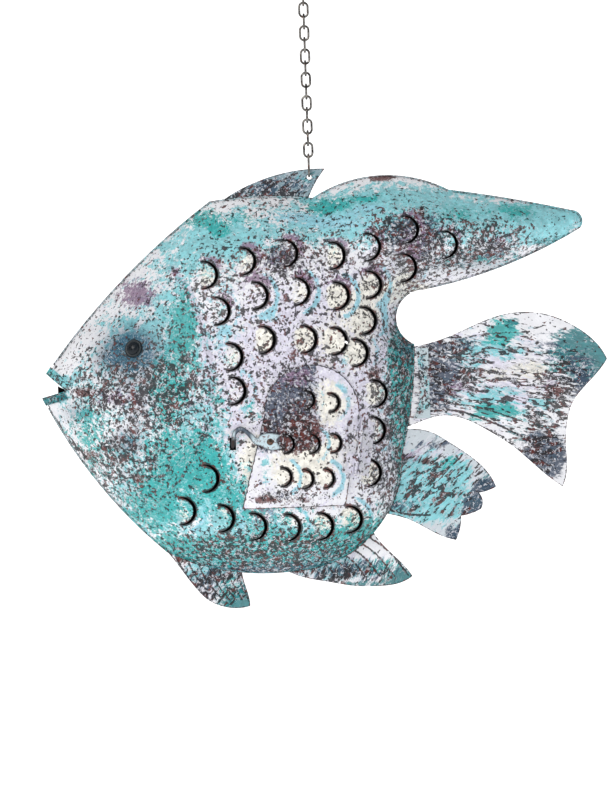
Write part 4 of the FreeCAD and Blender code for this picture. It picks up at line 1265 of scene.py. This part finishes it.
# painted shade: a dark plate in the mouth's corner stands for the unlit inside seen through the mouth
MOUTH_SHADE = bare_metal("mouth_shade_dark", rgb(12, 10, 10), rgb(26, 22, 22), 0.02, 0.7)
mouth_shade_loop = densify([(-276.5, -222.2), (-276.5, -214.5), (-266, -220)], 1.5)
mouth_shade_piece = sheet_piece("mouth_shade_plate", [mouth_shade_loop], 1.5, lambda x, z: np.full(len(x), 0.5),
                     lambda x, z: np.full(len(x), -0.5), MOUTH_SHADE)
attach(mouth_shade_piece, "fish")

# ---------------------------------------------------------------- turned pieces: eyes, rivet, dishes

def surface_frame(x, z, side, stand):
    """Origin and axes (u, v, outward) on a shell at (x, z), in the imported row's frame."""
    step = 0.5
    at = np.array([x + step, x - step, x, x, x], dtype=float)
    up = np.array([z, z, z + step, z - step, z], dtype=float)
    height = bulge(at, up)
    normal = np.array([-(height[0] - height[1]) / (2 * step), side, -(height[2] - height[3]) / (2 * step)])
    normal /= np.linalg.norm(normal)
    sideways = np.array([-side, 0, 0], dtype=float)
    u = sideways - (sideways @ normal) * normal
    u /= np.linalg.norm(u)
    v = np.cross(normal, u)
    origin = np.array([x, side * height[4], z + HOLE_Z]) + normal * stand
    return origin, u, v, normal


def upright_frame(x, z):
    """Origin and axes for pieces turned about a vertical axis in the seam plane."""
    return np.array([x, 0, z + HOLE_Z]), np.array([1.0, 0, 0]), np.array([0, 1.0, 0]), np.array([0, 0, 1.0])


def placed(points, axes):
    origin, u, v, w = axes
    return origin + points[:, :1] * u + points[:, 1:2] * v + points[:, 2:3] * w


def turned_piece(name, profile, axes, material, segments, dent=None):
    """A piece turned about w from a closed (radius, height) profile; dent(u, v, height) lowers its points."""
    angles = np.linspace(0, 2 * math.pi, segments, endpoint=False)
    vertices = []
    rings = []
    for radius, height in profile:
        if radius < 1e-6:
            rings.append([len(vertices)] * segments)
            vertices.append((0, 0, height))
        else:
            rings.append(list(range(len(vertices), len(vertices) + segments)))
            vertices += [(radius * math.cos(a), radius * math.sin(a), height) for a in angles]
    faces = []
    for ring, after in zip(rings, rings[1:] + rings[:1]):
        for i in range(segments):
            j = (i + 1) % segments
            corners = list(dict.fromkeys([ring[i], ring[j], after[j], after[i]]))
            if len(corners) > 2:
                faces.append(corners)
    points = np.array(vertices, dtype=float)
    if dent is not None:
        points[:, 2] -= dent(points[:, 0], points[:, 1], points[:, 2])
    return add_mesh(name, placed(points, axes), faces, material, 50)


def dome_profile(radius, base, height, count):
    """Profile points of a dome, from its rim to just short of its top."""
    return [(radius * math.cos(a), base + height * math.sin(a))
            for a in np.linspace(0, math.pi / 2, count)[:-1]]


def glossy(name, color, roughness):
    """Dark enamel with lighter worn patches."""
    n = Nodes(name)
    worn = n.step(n.noise(3, 4), 0.5, 0.75)
    tone = n.mix(worn, color, tuple(1.8 * c + 0.004 for c in color))
    return n.finish(tone, n.scaled(worn, 0.2, roughness), n.bump(n.noise(2, 3), 0.05, 0.4), specular=0.3)


EYE_RING_RADIUS = 9.8
EYE_DOME_RADIUS = 7.0
EYE_DOME_HEIGHT = 4.2
EYE_SEAT = 1.5
EYE_BLACK = glossy("eye_enamel", (0.004, 0.008, 0.012), 0.3)
EYE_RIM = glossy("eye_rim_enamel", (0.006, 0.012, 0.016), 0.42)


def eye_dent(u, v, height):
    """A cross-shaped driver recess in the middle of the dome."""
    arm = 2.6
    bar = 0.55
    across = (np.abs(u) < bar) & (np.abs(v) < arm)
    up = (np.abs(v) < bar) & (np.abs(u) < arm)
    return np.where((across | up) & (height > EYE_SEAT + 2), 0.9, 0.0)


RING_INNER = EYE_DOME_RADIUS - 1.2
RING_PROFILE = [(RING_INNER, 0.3), (EYE_RING_RADIUS, 0.3), (EYE_RING_RADIUS + 0.1, 0.8),
                (EYE_RING_RADIUS - 0.2, 1.5), (EYE_RING_RADIUS - 1, 2.0), (EYE_RING_RADIUS - 1.8, 1.9),
                (RING_INNER, 1.45)]
# The stud's shank with its nut, then its dome
STUD_PROFILE = [(0, -9), (2.6, -9), (2.6, -4.5), (4.6, -4.5), (4.6, -2.5), (2.6, -2.5), (2.6, EYE_SEAT)]
STUD_PROFILE += dome_profile(EYE_DOME_RADIUS, EYE_SEAT, EYE_DOME_HEIGHT, 40)
STUD_PROFILE += [(0, EYE_SEAT + EYE_DOME_HEIGHT)]

for side, side_name in ((LEFT, "left"), (RIGHT, "right")):
    axes = surface_frame(*EYE, side, SKIN)
    ring = turned_piece(side_name + "_eye_rim", RING_PROFILE, axes, EYE_RIM, 72)
    stud = turned_piece(side_name + "_eye_dome", STUD_PROFILE, axes, EYE_BLACK, 96, eye_dent)
    stand_in(ring, "fish", side_name + "_eye_ring")
    stand_in(stud, "fish", side_name + "_eye_stud")

IRON = bare_metal("candle_iron", rgb(70, 66, 64), rgb(120, 116, 112), 0.06)
RIVET_IRON = bare_metal("rivet_iron", rgb(52, 44, 40), rgb(110, 96, 86), 0.12)
CHAIN_STEEL = bare_metal("chain_wire", rgb(38, 34, 34), rgb(150, 146, 140), 0.05, 0.34)

CANDLE_X = -20.0
TRAY_Z = -350.0
TRAY_RADIUS, TRAY_RIM = 34.0, 6.0
CUP_RADIUS, CUP_DEPTH = 20.5, 13.0
DISH_SHEET = 1.0


def dish(name, node, radius, height, floor):
    """A round dish with a rolled rim."""
    outer = radius + DISH_SHEET
    top = height + DISH_SHEET
    turns = np.linspace(-0.6, math.pi + 0.6, 12)
    bead = [(outer - 0.5 + 0.8 * math.cos(a), top + 0.8 * math.sin(a)) for a in turns]
    profile = [(0, 0), (outer - 1.2, 0), (outer - 0.3, 0.3), (outer, 1.2), (outer, top - 0.6)] + bead
    profile += [(radius, top - 0.6), (radius, 2.0), (radius - 0.4, 1.3)]
    profile += [(radius - 1.0, DISH_SHEET), (0, DISH_SHEET)]
    piece = turned_piece(name, profile, upright_frame(CANDLE_X, floor), IRON, 96)
    stand_in(piece, "fish", node)


dish("drip_tray", "candle_tray", TRAY_RADIUS, TRAY_RIM, TRAY_Z)
dish("candle_socket", "candle_cup", CUP_RADIUS, CUP_DEPTH, TRAY_Z + DISH_SHEET)


# ---------------------------------------------------------------- latch

LATCH_GAP = 0.4
LATCH_SHEET = 1.5
LATCH_AXES = surface_frame(*RIVET_AT, LEFT, SKIN + DOOR_GAP + DOOR_SHEET + LATCH_GAP)
LATCH_OUTLINE = ((10.5, 6.5), (7, 1), (10.5, -7.5), (0, -9), (-10, -4.5), (-17, -1.5), (-22, 5), (-29, 12),
                 (-35.5, 9), (-38, -4), (-41.5, -4), (-40, 10), (-35, 16), (-29, 17), (-19, 9.5), (-14, 4.5),
                 (-9, 8), (0, 9.5))


def closed_smooth(points, per_side):
    """A smooth closed run of points through given ones."""
    points = np.asarray(points, dtype=float)
    result = []
    for i in range(len(points)):
        around = [points[(i + k) % len(points)] for k in (-1, 0, 1, 2)]
        result += [catmull(*around, u) for u in np.arange(per_side) / per_side]
    return np.array(result)


def latch_paint():
    """Flaked pale paint over rust, darker towards the arm's tip."""
    n = Nodes("latch_flaked_paint")
    flake = n.noise(4, 6, 0.75, 0.7)
    color = n.mix(n.step(flake, 0.40, 0.46), rgb(96, 40, 38), rgb(196, 216, 224))
    chips = n.step(n.noise(2.2, 4, 0.7), 0.62, 0.67)
    color = n.mix(n.math("MULTIPLY", chips, 0.8), color, rgb(52, 24, 22))
    tip = n.attribute("tip")
    color = n.mix(tip, color, rgb(48, 34, 30))
    arm = n.attribute("arm")
    color = n.mix(n.math("MULTIPLY", arm, n.step(flake, 0.4, 0.5)), color, rgb(78, 90, 104))
    color = n.mix(n.math("MULTIPLY", n.attribute("edge"), 0.85), color, rgb(40, 42, 50))
    return n.finish(color, n.scaled(flake, 0.3, 0.4), n.bump(flake, 0.3, 0.8), specular=0.4)


def make_latch():
    """The leaf on the rivet and its long hook, with a vein down the leaf and eased edges."""
    loop = closed_smooth(LATCH_OUTLINE, 5)
    edge = closed(loop)

    def top(u, v):
        gap, _ = distance_to_line(u, v, edge)
        leaf = np.exp(-((u - 1) / 9) ** 2 - (v / 8) ** 2)
        vein = 0.5 * bell(v, 0.8) * rise(-u, -8, -2) * rise(u, -16, -10)
        return LATCH_SHEET - 0.6 + 0.7 * rise(gap, 0, 2.0) + 0.7 * leaf - vein

    def bottom(u, v):
        gap, _ = distance_to_line(u, v, edge)
        return 0.25 - 0.25 * rise(gap, 0, 1.0)

    hole = circle_loop(0, 0, 1.95, 20)
    points, faces = sheet_geometry([loop, hole], 1.1, top, bottom)
    piece = add_mesh("latch_leaf_hook", placed(points, LATCH_AXES), faces, latch_paint())
    u, v = points[:, 0], points[:, 1]
    attribute(piece, "arm", rise(-u, 17, 22) * (1 - rise(-u, 36, 38)))
    attribute(piece, "tip", rise(-u, 35, 38) * (1 - rise(v, 2, 9)))
    rim, _ = distance_to_line(u, v, edge)
    attribute(piece, "edge", 1 - rise(rim, 0.2, 1.6))
    stand_in(piece, "latch", "latch_hook")


make_latch()

RIVET_SEAT = LATCH_SHEET + 0.25
RIVET_PROFILE = [(0, -1.75), (1.8, -1.75), (1.8, RIVET_SEAT), (3.5, RIVET_SEAT)]
RIVET_PROFILE += dome_profile(3.6, RIVET_SEAT + 0.3, 1.5, 10)
RIVET_PROFILE += [(0, RIVET_SEAT + 1.8)]
rivet = turned_piece("domed_rivet", RIVET_PROFILE, LATCH_AXES, RIVET_IRON, 40)
stand_in(rivet, "door", "latch_rivet")


# ---------------------------------------------------------------- chain

def tube(name, path, radius, material, sides=20):
    """A closed tube round a closed path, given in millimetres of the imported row's frame."""
    path = np.asarray(path, dtype=float)
    count = len(path)
    tangents = np.roll(path, -1, axis=0) - np.roll(path, 1, axis=0)
    tangents /= np.linalg.norm(tangents, axis=1)[:, None]
    middle = path.mean(axis=0)
    plane_normal = np.cross(path[0] - middle, tangents[0])
    plane_normal /= np.linalg.norm(plane_normal)
    vertices = []
    for point, tangent in zip(path, tangents):
        outward = np.cross(tangent, plane_normal)
        for a in np.linspace(0, 2 * math.pi, sides, endpoint=False):
            vertices.append(point + radius * (math.cos(a) * outward + math.sin(a) * plane_normal))
    faces = []
    for i in range(count):
        for k in range(sides):
            j, m = (i + 1) % count, (k + 1) % sides
            faces.append((i * sides + k, j * sides + k, j * sides + m, i * sides + m))
    return add_mesh(name, vertices, faces, material, 60)


# Wire radii of the links and of the hang ring
LINK_WIRE = 1.2
RING_WIRE = 1.6
LINK_COUNT = 14


def link_path(node):
    """A link's centre line, from its CAD box: two straights and two round ends."""
    low, high = (np.array(corner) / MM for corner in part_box(node))
    centre = (low + high) / 2
    spans = high - low
    across = np.array([1.0, 0, 0]) if spans[0] > spans[1] else np.array([0, 1.0, 0])
    bend = max(spans[0], spans[1]) / 2 - LINK_WIRE
    leg = spans[2] / 2 - LINK_WIRE - bend
    path = []
    for turn, shift in ((0, leg), (math.pi, -leg)):
        for a in np.linspace(turn, turn + math.pi, 20):
            path.append(centre + across * bend * math.cos(a) + np.array([0, 0, shift + bend * math.sin(a)]))
    return path


LINKS = ["fin_link"] + ["chain_link_%02d" % (i + 1) for i in range(LINK_COUNT)]
for node in LINKS:
    link = tube(node + "_wire", link_path(node), LINK_WIRE, CHAIN_STEEL)
    stand_in(link, node, node)

ring_low, ring_high = (np.array(corner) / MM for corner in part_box("hang_ring"))
ring_centre = (ring_low + ring_high) / 2
ring_reach = (ring_high[0] - ring_low[0]) / 2 - RING_WIRE
ring_path = [ring_centre + ring_reach * np.array([math.cos(a), 0, math.sin(a)])
             for a in np.linspace(0, 2 * math.pi, 72, endpoint=False)]
hang_ring = tube("hang_ring_wire", ring_path, RING_WIRE, CHAIN_STEEL, 24)
stand_in(hang_ring, "hang_ring", "hang_ring")

# the CAD pieces that are shown as they are
HINGE_PAINT = aged_paint("hinge_leaf_paint", rgb(206, 206, 212), None,
                         {"lavender": 0.5, "cream": 0.35, "speck": 0.66, "slate": 0.22})
AS_THEY_ARE = {"hinge_leaf_fish": HINGE_PAINT, "hinge_leaf_door": HINGE_PAINT, "hinge_pin": HINGE_PAINT,
               "candle_post": IRON}
for node, material in AS_THEY_ARE.items():
    piece = frame["nodes"][node]
    piece.data.materials.clear()
    piece.data.materials.append(material)


# ---------------------------------------------------------------- studio

# The backdrop, in metres: how far it reaches each way and up, its bend's radius, its floor's height
SWEEP_REACH = 30.0
SWEEP_BEND = 4.0
SWEEP_FLOOR = -3.2


def sweep():
    """A pale floor that curves up into a backdrop well behind the fish."""
    flat = SWEEP_REACH - SWEEP_BEND
    run = [(-SWEEP_REACH, 0.0), (flat, 0.0)]
    run += [(flat + SWEEP_BEND * math.sin(a), SWEEP_BEND - SWEEP_BEND * math.cos(a))
            for a in np.linspace(0, math.pi / 2, 16)[1:]]
    run += [(SWEEP_REACH, SWEEP_REACH)]
    vertices = [(x, y, SWEEP_FLOOR + z) for x in (-SWEEP_REACH, SWEEP_REACH) for y, z in run]
    count = len(run)
    faces = [(i, i + count, i + count + 1, i + 1) for i in range(count - 1)]
    mesh = bpy.data.meshes.new("studio_sweep")
    mesh.from_pydata(vertices, [], faces)
    mesh.polygons.foreach_set("use_smooth", [True] * len(faces))
    piece = bpy.data.objects.new("studio_sweep", mesh)
    bpy.context.scene.collection.objects.link(piece)
    n = Nodes("studio_paper")
    n.shader.inputs["Emission Color"].default_value = (1, 1, 1, 1)
    n.shader.inputs["Emission Strength"].default_value = 0.92
    mesh.materials.append(n.finish((0.6, 0.6, 0.61), 0.9, specular=0.1))
    return piece


def soft_light(name, place, target, width, watts, color=(1, 1, 1)):
    light = bpy.data.lights.new(name, "AREA")
    light.shape = "DISK"
    light.size = width
    light.energy = watts
    light.color = color
    lamp = bpy.data.objects.new(name, light)
    bpy.context.scene.collection.objects.link(lamp)
    lamp.location = place
    lamp.rotation_euler = (Vector(target) - Vector(place)).to_track_quat("-Z", "Y").to_euler()
    return lamp


FISH_MIDDLE = (-0.0119, 0.0, -0.4556)
stage = [
    sweep(),
    soft_light("key_light", (-1.6, -2.2, 1.1), FISH_MIDDLE, 1.2, 47, (1.0, 0.98, 0.95)),
    soft_light("fill_light", (2.2, -1.8, 0.1), FISH_MIDDLE, 2.0, 9, (0.94, 0.97, 1.0)),
    soft_light("back_light", (0.8, 2.0, 1.2), FISH_MIDDLE, 1.6, 10),
]

world = bpy.data.worlds.new("studio_world")
world.use_nodes = True
background = world.node_tree.nodes["Background"]
background.inputs["Color"].default_value = (0.92, 0.94, 0.97, 1)
background.inputs["Strength"].default_value = 0.38
bpy.context.scene.world = world
bpy.context.scene.view_settings.view_transform = "Standard"

LENS = 300.0
SENSOR = 36.0
VIEW_HEIGHT = 0.850
ROLL = math.radians(1.95)
distance = VIEW_HEIGHT * LENS / SENSOR
camera_data = bpy.data.cameras.new("photo_camera")
camera_data.lens = LENS
camera_data.sensor_width = SENSOR
camera_data.sensor_fit = "AUTO"
camera = bpy.data.objects.new("photo_camera", camera_data)
bpy.context.scene.collection.objects.link(camera)
camera.location = (FISH_MIDDLE[0], -distance, FISH_MIDDLE[2])
camera.rotation_euler = (math.radians(90), ROLL, 0)
bpy.context.scene.camera = camera
